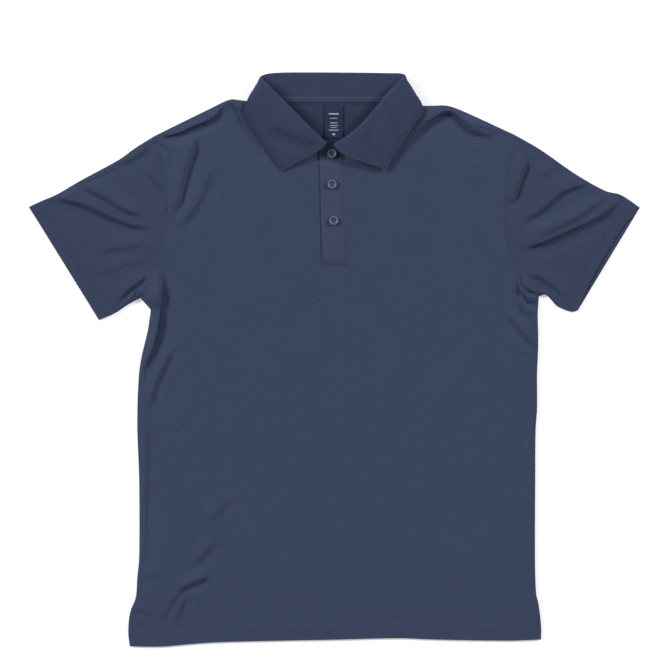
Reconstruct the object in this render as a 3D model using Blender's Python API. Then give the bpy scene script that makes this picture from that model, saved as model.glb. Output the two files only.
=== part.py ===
"""A short-sleeved polo shirt laid on its back, front up, as solids.

Right and left are the wearer's: the right sleeve is at -X and the collar at +Y. Tables are in
millimetres. The origin is the middle of the shirt's box, on the surface it lies on. Cloth is a
sheet of middle points that sheet_wall gives its thickness: the back lies on the floor, and the
front and the sleeves' upper layers lie on one height field, upper_height.
"""

import math
from collections import namedtuple

import bpy
import numpy as np
from mathutils import Vector
from mathutils.bvhtree import BVHTree

MM = 0.001

# Walls and gaps
JERSEY = 1.2
COLLAR_KNIT = 1.4
PLACKET_CLOTH = 1.4
TAPE = 1.0
GAP = 0.3
SEAM = 0.25  # each side of an armhole seam
BACK_MID = JERSEY / 2  # the lower layer's middle, flat on the floor
SEAM_MID = 1.5 * JERSEY + GAP  # the upper layer's middle where it is sewn to the lower one
PLATEAU = 4.7  # the upper layer's middle away from the edges
NECK_RAISE = 1.9  # the back panel climbs this far over the collar's back leaf
RAISE_BOX = (-118.0, 121.0, 330.0)  # x from, x to, y from
RAISE_RUN = 20.0
UNDER_COLLAR = 7.4  # above the panels and under the collar's front

# Buttons
BUTTON_ACROSS = 12.4
BUTTON_THICK = 2.4
BUTTON_HOLE = 1.5
BUTTON_HOLE_RADIUS = 1.7
BUTTON_PLACES = ((-3.3, 272.5), (-3.1, 232.5), (-0.8, 184.3))
BUTTON_PROFILE = (  # shares of the radius and of the thickness, from the back's middle round
    (0, 0), (0.72, 0), (0.95, 0.29), (1, 0.54), (0.95, 0.83), (0.83, 1), (0.66, 0.875),
    (0.5, 0.67), (0, 0.625),
)
BUTTON_SIDES = 20
HOLE_SIDES = 6

# Placket, label and tape, as (x, y) corners
PLACKET_TOP = 279.0
PLACKET_FOOT = 125.0
PLACKET_EDGE = (-20.3, -15.8)  # its free edge: x at the top, x at the foot
PLACKET_SEAM = (13.2, 16.3)
LABEL_X = (-13.2, 11.3)
LABEL_Y = (294.0, 337.5)
TAPE_X = (-72.0, 69.0)
TAPE_Y = (339.5, 349.5)
TAPE_ROWS = (0, 0.42, 0.65, 1)  # clear of the seam that it covers

# Columns across the front and the back: cell widths from an armhole to the neck, then the neck
SHOULDER_CELLS = (3, 5, 7, 8.5, 9.5, 10, 11, 12, 13, 14, 15, 16, 13, 12)
NECK_CELLS = 12
SIDE_CELLS = 40
ARM_CELLS = 20
SEAM_CELLS = 2  # from a fold to the seam in front of it
FOLD_ANGLES = (-54, -18, 18, 54)  # rows round a fold, in degrees from level
BEFORE_FOLD = 0.45  # how far the row before a fold has gone towards it
SLEEVE_CELLS = (3, 6, 9, 10, 10, 10, 10, 10, 10, 10, 10, 10, 10, 10, 10, 9, 8)

Edge = namedtuple("Edge", "x y rim")
Fold = namedtuple("Fold", "depth half rise_left rise_right path")
Section = namedtuple("Section", "seam roll leaf turn radius")

# Outline stretches, from the hem's corner up and round. rim is the height of the upper layer's
# middle at the edge: low where it is sewn flat, higher where the cloth folds over.
SIDE_RIGHT = (
    Edge(-272, -381, 2.1), Edge(-274, -361, 2.1), Edge(-271.5, -336, 2.1), Edge(-264, -316, 2.1),
    Edge(-262, -290, 2.1), Edge(-259.5, -263, 2.1), Edge(-259.5, -160, 2.1),
    Edge(-262, -86, 2.1), Edge(-260, -22, 2.1), Edge(-256, 5, 2.1), Edge(-248, 39, 2.1),
    Edge(-244, 66, 2.1),
)
UNDERARM_RIGHT = Edge(-258, 82, 2.1)
ARMHOLE_RIGHT = (
    UNDERARM_RIGHT, Edge(-248, 99, 0), Edge(-239, 118, 0), Edge(-229, 155, 0),
    Edge(-222, 195, 0), Edge(-222, 228, 0), Edge(-229, 262, 0), Edge(-237, 292, 0),
)
FOLD_RIGHT = (
    Edge(-239, 297.3, 3.8), Edge(-203, 315, 4.4), Edge(-164, 334, 5.2), Edge(-139, 345.5, 6.6),
    Edge(-125.5, 344.5, 6.8), Edge(-113.5, 343, 6.8), Edge(-92, 343, 6.8),
)
SEAM_RIGHT = (
    Edge(-237, 292, 0), Edge(-203, 307, 0), Edge(-165, 324, 0), Edge(-139, 340, 0),
    Edge(-132, 337.5, 0), Edge(-119, 326, 0), Edge(-88.4, 321.2, 0),
)
SLEEVE_TOP_RIGHT = (
    Edge(-239, 297.3, 3.8), Edge(-266, 280.3, 3.8), Edge(-285, 266.4, 3.8), Edge(-338.5, 237.3, 3.8),
    Edge(-368, 220, 3.6), Edge(-389, 211, 3.4), Edge(-406, 203, 3.2),
)
CUFF_RIGHT = (Edge(-406, 203, 3.2), Edge(-313, 52.5, 2.1))
UNDERSIDE_RIGHT = (
    Edge(-313, 52.5, 2.1), Edge(-292, 61.5, 2.1), Edge(-274.5, 73, 2.1), UNDERARM_RIGHT,
)

SIDE_LEFT = (
    Edge(274.5, -372, 2.1), Edge(274.5, -353, 2.1), Edge(271, -324, 2.1), Edge(268, -311, 2.1),
    Edge(266.5, -267, 2.1), Edge(266.8, -160, 2.1), Edge(267.3, -93, 2.1), Edge(269.2, -65, 2.1),
    Edge(269.2, -20, 2.1), Edge(270.8, 20, 2.1), Edge(270, 60, 2.1),
)
UNDERARM_LEFT = Edge(271.5, 84, 2.1)
ARMHOLE_LEFT = (
    UNDERARM_LEFT, Edge(256, 94.5, 0), Edge(244, 114, 0), Edge(233.5, 138.5, 0),
    Edge(226.5, 167, 0), Edge(225.3, 200, 0), Edge(228, 236, 0), Edge(233, 268, 0),
    Edge(238, 292, 0),
)
FOLD_LEFT = (
    Edge(240, 298.4, 3.8), Edge(200, 316.9, 4.4), Edge(160, 334.5, 5.4), Edge(147, 337.6, 6.4),
    Edge(132, 337.2, 6.8), Edge(118, 337, 6.8), Edge(90, 341, 6.8),
)
SEAM_LEFT = (
    Edge(238, 292, 0), Edge(219.5, 301.8, 0), Edge(199, 308.6, 0), Edge(183, 313.6, 0),
    Edge(166.5, 324.6, 0), Edge(153.5, 331.8, 0), Edge(140, 331, 0), Edge(120, 319.8, 0),
    Edge(83.1, 321.2, 0),
)
SLEEVE_TOP_LEFT = (
    Edge(240, 298.4, 3.8), Edge(273, 279.3, 3.8), Edge(320, 246.6, 3.8), Edge(360, 224.3, 3.6),
    Edge(380, 219.2, 3.4), Edge(406, 202, 3.2),
)
CUFF_LEFT = (Edge(406, 202, 3.2), Edge(323.5, 65.3, 2.1))
CUFF_LEFT_UPPER = (
    Edge(406, 202, 3.2), Edge(397, 191.5, 0), Edge(388, 183, 0), Edge(378, 169, 0),
    Edge(358.5, 136.5, 0), Edge(340.5, 105, 0), Edge(333.5, 89, 0), Edge(328.5, 76, 0),
    Edge(323.5, 65.3, 2.1),
)
UNDERSIDE_LEFT = (
    Edge(323.5, 65.3, 2.1), Edge(315, 63.5, 2.1), Edge(297, 70.4, 2.1), Edge(289, 78.4, 2.1),
    Edge(281, 86, 2.1), UNDERARM_LEFT,
)
HEM = (
    Edge(-272, -381, 2.1), Edge(-245, -381.7, 2.1), Edge(-225, -381.2, 2.1), Edge(-168, -376.4, 2.1),
    Edge(-107, -374.4, 2.1), Edge(-6, -372.4, 2.1), Edge(87, -370.3, 2.1), Edge(126, -371.9, 2.1),
    Edge(231, -373.6, 2.1), Edge(274.5, -372, 2.1),
)
NECKLINE_FRONT = (
    Edge(-88.4, 321.2, 0), Edge(-78, 309, 0), Edge(-59, 294.6, 0), Edge(-39, 284.5, 0),
    Edge(-22, 280.6, 0), Edge(-2, 281.2, 0), Edge(16, 279.6, 0), Edge(37, 286.6, 0),
    Edge(58, 300, 0), Edge(72.5, 310.6, 0), Edge(83.1, 321.2, 0),
)
NECKLINE_BACK_Y = 344.5

# The largest creases of the upper layer: a trough along each path, and a rise on either side
FOLDS = (
    Fold(1.6, 10, 1.2, 0.2, (
        (-337, 229), (-304, 212), (-276, 195.5), (-245, 185.5),
    )),
    Fold(2.4, 12, 1.8, 0.4, (
        (-373, 213.5), (-346, 204), (-312, 195.5), (-284, 183), (-239, 169.5),
    )),
    Fold(1.3, 10, 0.9, 0.2, (
        (-320, 139), (-286, 145.5), (-245, 152),
    )),
    Fold(2.2, 8, 1.6, 0.4, (
        (-283, 74), (-279, 87), (-270, 95), (-260, 102.5), (-247, 113),
    )),
    Fold(2.4, 10, 0.6, 1.8, (
        (-175, 300), (-184, 274.5), (-195, 246.5), (-204, 208), (-212, 187),
    )),
    Fold(1.8, 10, 0.3, 1.3, (
        (-160, 255), (-173.5, 217.5), (-188, 193.5), (-207, 171),
    )),
    Fold(2.6, 13, 3.4, 0.2, (
        (-249, -33), (-246.5, -11), (-238.5, 17), (-232, 39), (-228, 79), (-228, 118),
    )),
    Fold(1.8, 9, 1.4, 0.4, (
        (-244, -70), (-237.5, -38), (-227, -12.5), (-207, 14),
    )),
    Fold(1.0, 9, 0.8, 0.0, (
        (-248, -280), (-248, -187), (-248, -80),
    )),
    Fold(1.4, 11, 0.8, 0.4, (
        (-188, -278), (-179, -267), (-160, -241),
    )),
    Fold(2.4, 10, 1.6, 0.4, (
        (-224, -342), (-217.5, -332), (-205.5, -314.5), (-191, -300), (-168, -290),
    )),
    Fold(1.5, 8, 1.0, 0.6, (
        (229, 60.5), (240, 46), (254.5, 30), (266, 18),
    )),
    Fold(2.2, 10, 1.5, 0.4, (
        (237, 212), (246, 244), (256, 269),
    )),
    Fold(1.8, 11, 1.2, 0.4, (
        (246, 179), (272, 197.5), (290.5, 216), (309, 228), (340, 236),
    )),
    Fold(2.6, 12, 3.6, 0.2, (
        (248, 141), (280, 155), (320, 172.5), (352, 187), (372, 201.5), (386, 208),
    )),
    Fold(1.6, 9, 0.8, 0.4, (
        (302.5, 83), (285, 100.5), (264, 112.5),
    )),
    Fold(2.4, 9, 1.0, 0.2, (
        (104, 292), (120, 308), (134, 318), (148, 323), (160, 320.5), (172, 310.5), (184, 301.5),
        (202, 295),
    )),
    Fold(2.4, 8, 1.0, 0.2, (
        (-228, 294), (-204, 299.5), (-184, 308), (-167, 315), (-150, 329), (-140, 337),
    )),
    Fold(2.0, 7, 1.2, 0.4, (
        (245, 106), (249, 94), (256, 84), (264, 77.5), (273, 75),
    )),
)

# Collar sections: where the strip is sewn on, the top of its roll and the leaf's free edge, each
# (x, y, z). turn is the way from stand to leaf, in degrees from level: below, beside or above.
COLLAR_RIGHT = (
    Section((-45, 344.9, 2.5), (-42, 381.0, 2.5), (-48, 338.5, 0.7), -90, 1.8),
    Section((-74, 344.9, 2.5), (-74, 380.6, 2.6), (-88, 340.5, 0.7), -88, 1.8),
    Section((-84, 345.4, 3.0), (-88, 379.0, 3.1), (-104, 344.8, 0.7), -75, 1.9),
    Section((-88, 346.0, 3.9), (-94.4, 376.6, 4.3), (-110.8, 347.5, 1.4), -40, 2.1),
    Section((-89.2, 345.8, 5.3), (-96.6, 374.4, 6.4), (-113, 347.9, 4.9), 0, 2.3),
    Section((-88.6, 343.2, 6.7), (-95.4, 371.5, 8.8), (-114.2, 345.5, 8.8), 55, 2.5),
    Section((-87.2, 334, 7.2), (-90, 365, 10.4), (-120.3, 330.5, 9.6), 85, 2.6),
    Section((-83, 319.5, 7.0), (-76.5, 351.5, 11.8), (-113, 315.3, 9.2), 90, 2.7),
    Section((-69, 303.6, 6.4), (-54, 329.2, 12.4), (-98, 292.9, 8.6), 90, 2.7),
    Section((-44, 288.2, 5.6), (-32, 307, 12.0), (-83, 271.1, 8.0), 90, 2.6),
    Section((-18, 281.6, 5.2), (-10.3, 286.8, 10.0), (-68.8, 250.3, 7.4), 90, 2.2),
)
COLLAR_LEFT = (
    Section((42, 344.9, 2.5), (40, 380.6, 2.5), (44, 337.5, 0.7), -90, 1.8),
    Section((72, 344.9, 2.5), (72, 380.0, 2.6), (86, 337.6, 0.7), -88, 1.8),
    Section((81, 345.0, 3.0), (84.5, 379.6, 3.1), (104, 339.0, 0.7), -75, 1.9),
    Section((84.8, 345.4, 3.9), (90, 378.4, 4.3), (111.3, 340.9, 1.4), -40, 2.1),
    Section((86, 344.8, 5.3), (92, 376.6, 6.4), (113.6, 341.4, 4.9), 0, 2.3),
    Section((85, 341.8, 6.7), (90.4, 373.8, 8.8), (115.2, 339.0, 9.8), 55, 2.5),
    Section((83.2, 332.5, 7.2), (85.5, 367.5, 10.6), (117.8, 330.0, 11.6), 85, 2.6),
    Section((78.6, 319.5, 7.0), (68, 349.7, 12.2), (109, 315.8, 12.0), 90, 2.7),
    Section((64, 305.8, 6.4), (54, 332, 12.8), (96, 295.8, 11.6), 90, 2.8),
    Section((40, 290, 5.6), (26, 302.5, 12.8), (81, 272.4, 10.6), 90, 2.7),
    Section((8, 281.5, 5.2), (-1.4, 284.9, 11.2), (67.2, 250.7, 9.4), 90, 2.2),
)
COLLAR_STEPS = 2  # sections read between two rows of the table
STAND_ROWS = 4
ROLL_ROWS = 4
LEAF_ROWS = 5
TIPPING_FROM_EDGE = (9.6, 8.6, 7.6, 6.2, 5.2, 4.2, 3.0)  # rows near the edge, two ridges
TIPPING_RAISED = (8.6, 5.2)
TIPPING_HEIGHT = 0.5

# Linear colours
NAVY = (0.044, 0.057, 0.102)
NAVY_DARK = (0.032, 0.042, 0.078)
BUTTON_NAVY = (0.075, 0.09, 0.13)
CLOTH_ROUGHNESS = 0.9
BUTTON_ROUGHNESS = 0.35


def fraction_of(low, high, value):
    """How far value has gone from low to high, held between 0 and 1."""
    return np.clip((value - low) / (high - low), 0.0, 1.0)


def eased(value):
    """A smooth step of a fraction."""
    return value * value * (3.0 - 2.0 * value)


def smooth_curve(points, steps=10):
    """Points read from a smooth curve through the given ones."""
    points = np.asarray(points, float)
    if len(points) == 2:
        return points
    ends = np.vstack([2 * points[0] - points[1], points, 2 * points[-1] - points[-2]])
    found = [points[:1]]
    for before, start, end, after in zip(ends, ends[1:], ends[2:], ends[3:]):
        chord = np.linalg.norm((end - start)[:2])
        leaving = (end - before) * chord / np.linalg.norm((end - before)[:2])
        arriving = (after - start) * chord / np.linalg.norm((after - start)[:2])
        t = (np.arange(1, steps + 1) / steps)[:, None]
        found.append(
            (2 * t**3 - 3 * t**2 + 1) * start
            + (t**3 - 2 * t**2 + t) * leaving
            + (3 * t**2 - 2 * t**3) * end
            + (t**3 - t**2) * arriving
        )
    return np.vstack(found)


def along(curve, fractions):
    """Points of a curve at these fractions of its length."""
    lengths = np.concatenate([[0], np.cumsum(np.linalg.norm(np.diff(curve[:, :2], axis=0), axis=1))])
    wanted = np.asarray(fractions) * lengths[-1]
    return np.stack([np.interp(wanted, lengths, curve[:, k]) for k in range(curve.shape[1])], 1)


def at_x(curve, xs):
    """Points (x, y) of a curve that runs one way along X, at these x."""
    order = np.argsort(curve[:, 0])
    return np.stack([xs, np.interp(xs, curve[order, 0], curve[order, 1])], 1)


def nearest_on(curve, places):
    """Distance to a curve, side (positive on the left), fraction of its length, third column."""
    start, run = curve[:-1], np.diff(curve, axis=0)
    lengths = np.linalg.norm(run[:, :2], axis=1)
    gone = np.concatenate([[0], np.cumsum(lengths)])
    best = np.full(len(places), np.inf)
    signed, share, value = np.zeros_like(best), np.zeros_like(best), np.zeros_like(best)
    for k in range(len(run)):
        if lengths[k] == 0:
            continue
        way = run[k, :2] / lengths[k]
        off = places - start[k, :2]
        t = np.clip(off @ way, 0, lengths[k])
        distance = np.linalg.norm(off - t[:, None] * way, axis=1)
        nearer = distance < best
        best[nearer] = distance[nearer]
        signed[nearer] = np.sign(way[0] * off[:, 1] - way[1] * off[:, 0])[nearer]
        share[nearer] = ((gone[k] + t) / gone[-1])[nearer]
        if curve.shape[1] > 2:
            value[nearer] = (start[k, 2] + run[k, 2] * t / lengths[k])[nearer]
    return best, signed, share, value


OUTLINE_STRETCHES = tuple(
    smooth_curve(stretch)
    for stretch in (
        SIDE_RIGHT, (SIDE_RIGHT[-1], UNDERARM_RIGHT), UNDERSIDE_RIGHT, CUFF_RIGHT,
        SLEEVE_TOP_RIGHT, FOLD_RIGHT, HEM, SIDE_LEFT, (SIDE_LEFT[-1], UNDERARM_LEFT),
        UNDERSIDE_LEFT, CUFF_LEFT_UPPER, SLEEVE_TOP_LEFT, FOLD_LEFT,
    )
)


def bump(value):
    """A rounded hump that is 1 in the middle and ends at -1 and 1."""
    return np.clip(1 - value * value, 0, None) ** 2


def edge_and_rim(places):
    """Distance to the outline, and its rim height at the nearest point."""
    best, rim = np.full(len(places), np.inf), np.zeros(len(places))
    for stretch in OUTLINE_STRETCHES:
        distance, _, _, height = nearest_on(stretch, places)
        nearer = distance < best - 1e-9
        best[nearer], rim[nearer] = distance[nearer], height[nearer]
    return best, np.maximum(rim, SEAM_MID)


def creases(places):
    """Height that the folds add at these places."""
    height = np.zeros(len(places))
    for fold in FOLDS:
        distance, side, share, _ = nearest_on(smooth_curve(fold.path, 4), places)
        across = side * distance / fold.half
        taper = np.clip(4 * share * (1 - share), 0, 1) ** 0.7
        height += taper * (
            fold.rise_left * bump(across - 1.1)
            + fold.rise_right * bump(across + 1.1)
            - fold.depth * bump(across)
        )
    return height


def back_height(places):
    """Middle of the back panel: flat, and raised over the collar's back leaf."""
    x, y = places[:, 0], places[:, 1]
    left, right, low = RAISE_BOX
    across = fraction_of(left - RAISE_RUN, left, x) * fraction_of(right + RAISE_RUN, right, x)
    return BACK_MID + NECK_RAISE * eased(across) * eased(fraction_of(low - RAISE_RUN, low, y))


def upper_height(places):
    """Middle of the upper layer: the front panel and the sleeves' fronts."""
    distance, rim = edge_and_rim(places)
    reach = 14 + 6 * (rim - SEAM_MID)
    q = np.clip(distance / reach, 0, 1)
    folded = fraction_of(SEAM_MID, SEAM_MID + 1.4, rim)
    rise = (1 - folded) * (1 - (1 - q) ** 3) + folded * eased(q)
    inside = fraction_of(3, 16, distance)
    height = rim + (PLATEAU - rim) * rise + inside * creases(places)
    return np.maximum(height, np.minimum(rim, SEAM_MID + 0.2 * rise))


def sheet_wall(name, points, quads, thickness, colour, raised=None):
    """A closed wall from a sheet of middle points and its quads, which face the outer side.

    Where the sheet lies nearly level its thickness is upright, so that seams stay square. raised
    lifts the outer side at some points, and nothing goes below the floor.
    """
    points, quads = np.asarray(points, float), np.asarray(quads)
    corners = points[quads]
    across = np.cross(corners[:, 2] - corners[:, 0], corners[:, 3] - corners[:, 1])
    normals = np.zeros_like(points)
    for k in range(4):
        np.add.at(normals, quads[:, k], across)
    normals /= np.linalg.norm(normals, axis=1)[:, None]
    level = eased(fraction_of(0.6, 0.9, np.abs(normals[:, 2])))
    normals[:, :2] *= (1 - level)[:, None]
    normals /= np.linalg.norm(normals, axis=1)[:, None]
    lift = np.zeros(len(points)) if raised is None else raised
    outer = points + normals * (thickness / 2 + lift)[:, None]
    inner = points - normals * thickness / 2
    outer[:, 2], inner[:, 2] = np.maximum(outer[:, 2], 0), np.maximum(inner[:, 2], 0)
    count = len(points)
    faces = [list(map(int, quad)) for quad in quads]
    faces += [[int(corner) + count for corner in quad[::-1]] for quad in quads]
    ends = {}
    for quad in quads:
        for a, b in zip(quad, np.roll(quad, -1)):
            ends[(int(a), int(b))] = True
    for a, b in list(ends):
        if (b, a) not in ends:
            faces.append([b, a, a + count, b + count])
    return make_object(name, np.vstack([outer, inner]), faces, colour)


def make_object(name, points, faces, colour, roughness=CLOTH_ROUGHNESS):
    """An object with these points, in millimetres, and its own material."""
    mesh = bpy.data.meshes.new(name)
    mesh.from_pydata([tuple(point) for point in np.asarray(points) * MM], [], faces)
    mesh.update()
    mesh.shade_smooth()
    mesh.set_sharp_from_angle(angle=math.radians(40))
    obj = bpy.data.objects.new(name, mesh)
    bpy.context.scene.collection.objects.link(obj)
    material = bpy.data.materials.new(name)
    material.use_nodes = True
    shader = material.node_tree.nodes["Principled BSDF"]
    shader.inputs["Base Color"].default_value = (*colour, 1)
    shader.inputs["Roughness"].default_value = roughness
    shader.inputs["Metallic"].default_value = 0
    mesh.materials.append(material)
    return obj


def grid_quads(rows, columns, first=0):
    """Quads of a grid stored row by row, facing up when rows go +Y and columns go +X."""
    index = first + np.arange(rows * columns).reshape(rows, columns)
    return np.stack(
        [index[:-1, :-1], index[:-1, 1:], index[1:, 1:], index[1:, :-1]], -1
    ).reshape(-1, 4)


def coons(bottom, top, left, right):
    """A grid of (x, y) between four edges. Rows go from bottom to top, columns left to right."""
    u = (bottom[:, 0] - bottom[0, 0]) / (bottom[-1, 0] - bottom[0, 0])
    v = np.concatenate([[0], np.cumsum(np.linalg.norm(np.diff(left, axis=0), axis=1))])
    u, v = u[None, :, None], (v / v[-1])[:, None, None]
    straight = (
        (1 - u) * (1 - v) * bottom[0] + u * (1 - v) * bottom[-1]
        + (1 - u) * v * top[0] + u * v * top[-1]
    )
    return (
        (1 - v) * bottom[None] + v * top[None]
        + (1 - u) * left[:, None] + u * right[:, None] - straight
    )


def plan(stretch):
    """The x and y of a smooth curve through an outline table."""
    return smooth_curve(stretch)[:, :2]


def panel_side(side, underarm, armhole, shift):
    """A body panel's edge: from the hem up the side, and round the armhole to the shoulder."""
    rise = plan(side)
    start = along(rise, np.linspace(0, 1, SIDE_CELLS))
    corner = np.array([[underarm.x, underarm.y]])
    curve = along(plan(armhole), np.linspace(0, 1, ARM_CELLS + 1))
    curve[:, 0] += shift
    return np.vstack([start, corner, curve[1:]])


def shoulder_columns(start, end):
    """x of the columns over one shoulder, from the armhole in to the neck."""
    widths = np.cumsum((0,) + SHOULDER_CELLS)
    return start + (end - start) * widths / widths[-1]


def hem_below(top):
    """The hem's points, spread across the panel as those of its top edge are."""
    hem = plan(HEM)
    share = (top[:, 0] - top[0, 0]) / (top[-1, 0] - top[0, 0])
    return at_x(hem, hem[0, 0] + share * (hem[-1, 0] - hem[0, 0]))


def front_panel():
    """The front: one piece from hem to shoulder seams, with the neckline cut out of its top."""
    right = shoulder_columns(SEAM_RIGHT[0].x + SEAM, SEAM_RIGHT[-1].x)
    left = shoulder_columns(SEAM_LEFT[0].x - SEAM, SEAM_LEFT[-1].x)[::-1]
    neck = np.linspace(right[-1], left[0], NECK_CELLS + 1)[1:-1]
    top = np.vstack([
        at_x(plan(SEAM_RIGHT), right), at_x(plan(NECKLINE_FRONT), neck), at_x(plan(SEAM_LEFT), left),
    ])
    top[:, 1] -= GAP / 2
    edge_right = panel_side(SIDE_RIGHT, UNDERARM_RIGHT, ARMHOLE_RIGHT, SEAM)
    edge_left = panel_side(SIDE_LEFT, UNDERARM_LEFT, ARMHOLE_LEFT, -SEAM)
    edge_right[-1], edge_left[-1] = top[0], top[-1]
    return coons(hem_below(top), top, edge_right, edge_left)


def fold_start(stretch, xs):
    """Where the back's lower layer starts to turn over at the shoulder: points, way out, radius."""
    curve = smooth_curve(stretch)
    order = np.argsort(curve[:, 0])
    y = np.interp(xs, curve[order, 0], curve[order, 1])
    rim = np.interp(xs, curve[order, 0], curve[order, 2])
    slope = np.gradient(y, xs)
    way = np.stack([-slope, np.ones_like(xs)], 1)
    way /= np.linalg.norm(way, axis=1)[:, None]
    edge = np.stack([xs, y], 1)
    low = back_height(edge)
    radius = np.maximum((rim - low) / 2, 1.0)
    return edge - way * (radius + JERSEY / 2)[:, None], way, radius


def back_columns():
    """x of the back panel's columns along its top: right shoulder, neck and left shoulder."""
    right = shoulder_columns(FOLD_RIGHT[0].x + SEAM, FOLD_RIGHT[-1].x)
    left = shoulder_columns(FOLD_LEFT[0].x - SEAM, FOLD_LEFT[-1].x)[::-1]
    neck = np.linspace(right[-1], left[0], NECK_CELLS + 1)[1:-1]
    return right, neck, left


def back_panel():
    """The back's points and quads: a flat layer, and a strip over each shoulder to its seam."""
    right, neck, left = back_columns()
    start_right, way_right, radius_right = fold_start(FOLD_RIGHT, right)
    start_left, way_left, radius_left = fold_start(FOLD_LEFT, left)
    neckline = np.stack([neck, np.full(len(neck), NECKLINE_BACK_Y - GAP / 2)], 1)
    top = np.vstack([start_right, neckline, start_left])
    edges = []
    for side, underarm, armhole, shift, end in (
        (SIDE_RIGHT, UNDERARM_RIGHT, ARMHOLE_RIGHT, SEAM, start_right[0]),
        (SIDE_LEFT, UNDERARM_LEFT, ARMHOLE_LEFT, -SEAM, start_left[-1]),
    ):
        edge = panel_side(side, underarm, armhole, shift)
        edge[-1] = end
        edges.append(edge)
    flat = coons(hem_below(top), top, *edges)
    rows, columns = flat.shape[:2]
    places = flat.reshape(-1, 2)
    points = [np.column_stack([places, back_height(places)])]
    quads = [grid_quads(rows, columns)]
    first = rows * columns
    for seam, start, way, radius, offset in (
        (SEAM_RIGHT, start_right, way_right, radius_right, 0),
        (SEAM_LEFT, start_left, way_left, radius_left, len(right) + len(neck)),
    ):
        over = shoulder_strip(seam, start, way, radius)
        count = over.shape[1]
        strip = first + np.arange(over.shape[0] * count).reshape(over.shape[:2])
        joined = np.vstack([(rows - 1) * columns + offset + np.arange(count), strip])
        points.append(over.reshape(-1, 3))
        quads.append(np.stack(
            [joined[:-1, :-1], joined[:-1, 1:], joined[1:, 1:], joined[1:, :-1]], -1
        ).reshape(-1, 4))
        first += over.shape[0] * count
    return np.vstack(points), np.vstack(quads)


def shoulder_strip(seam, start, way, radius):
    """Rows of the back over one shoulder: round the fold, then forward to the shoulder seam."""
    low, high = back_height(start), upper_height(start)
    middle, half = (low + high) / 2, (high - low) / 2
    rows = []
    for angle in np.radians(FOLD_ANGLES):
        out = start + way * (radius * math.cos(angle))[:, None]
        rows.append(np.column_stack([out, middle + half * math.sin(angle)]))
    reach = seam_points(seam)
    for share in np.linspace(0, 1, SEAM_CELLS + 1):
        place = start + (reach - start) * share
        rows.append(np.column_stack([place, upper_height(place)]))
    return np.array(rows)


def seam_points(seam):
    """The back's side of a shoulder seam, one point for each column."""
    xs = shoulder_columns(seam[0].x, seam[-1].x)
    points = at_x(plan(seam), xs if seam[0].x < 0 else xs[::-1])
    points[:, 1] += GAP / 2
    return points


def armhole_line(armhole, top, shift):
    """The sleeve's edge along its armhole, from the underarm over the seam to the fold."""
    hole = along(plan(armhole), np.linspace(0, 1, ARM_CELLS + 1))
    fold = np.array([top[0].x, top[0].y])
    shares = np.linspace(0, 1, SEAM_CELLS + 1)[1:, None]
    hole = np.vstack([hole, hole[-1] + (fold - hole[-1]) * shares])
    hole[:, 0] += shift
    return hole


def sleeve(top, cuff_low, cuff_high, underside, armhole, shift):
    """A sleeve's points and quads: its lower layer, the fold along its top, its upper layer."""
    widths = np.cumsum((0,) + SLEEVE_CELLS)
    reach = widths / widths[-1]
    hole = armhole_line(armhole, top, shift)
    under = along(plan(underside)[::-1], reach)
    over = along(smooth_curve(top), reach)
    under[0], over[0, :2] = hole[0], hole[-1]
    shares = np.concatenate([[0], np.cumsum(np.linalg.norm(np.diff(hole, axis=0), axis=1))])
    shares /= shares[-1]
    layers = []
    for cuff in (cuff_low, cuff_high):
        end = along(plan(cuff)[::-1], shares)
        end[0], end[-1] = under[-1], over[-1, :2]
        layers.append(quilt(hole, end, under, over[:, :2], shares, reach))
    low, high = layers
    way = np.stack([-np.gradient(over[:, 1]), np.gradient(over[:, 0])], 1)
    way /= np.linalg.norm(way, axis=1)[:, None]
    way *= np.sign((way * (low[:, -1] - low[:, -2])).sum(1))[:, None]
    radius = (over[:, 2] - BACK_MID) / 2
    for layer in layers:
        layer[:, -1] = over[:, :2] - way * (radius + JERSEY / 2)[:, None]
        layer[:, -2] = layer[:, -1] * BEFORE_FOLD + layer[:, -3] * (1 - BEFORE_FOLD)
    rows = [np.column_stack([low[:, k], np.full(len(low), BACK_MID)]) for k in range(len(shares))]
    start = low[:, -1]
    middle, half = (BACK_MID + upper_height(start)) / 2, (upper_height(start) - BACK_MID) / 2
    for angle in np.radians(FOLD_ANGLES):
        out = start + way * (radius * math.cos(angle))[:, None]
        rows.append(np.column_stack([out, middle + half * math.sin(angle)]))
    for k in reversed(range(len(shares))):
        rows.append(np.column_stack([high[:, k], upper_height(high[:, k])]))
    grid = np.array(rows)
    return grid.reshape(-1, 3), grid_quads(*grid.shape[:2])


def quilt(start, end, low, high, shares, reach):
    """A grid between an armhole and a cuff. Rows go along the sleeve, columns up the armhole."""
    u, v = reach[:, None, None], shares[None, :, None]
    straight = (
        (1 - u) * (1 - v) * start[0] + u * (1 - v) * end[0]
        + (1 - u) * v * start[-1] + u * v * end[-1]
    )
    return (
        (1 - u) * start[None] + u * end[None]
        + (1 - v) * low[:, None] + v * high[:, None] - straight
    )


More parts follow.
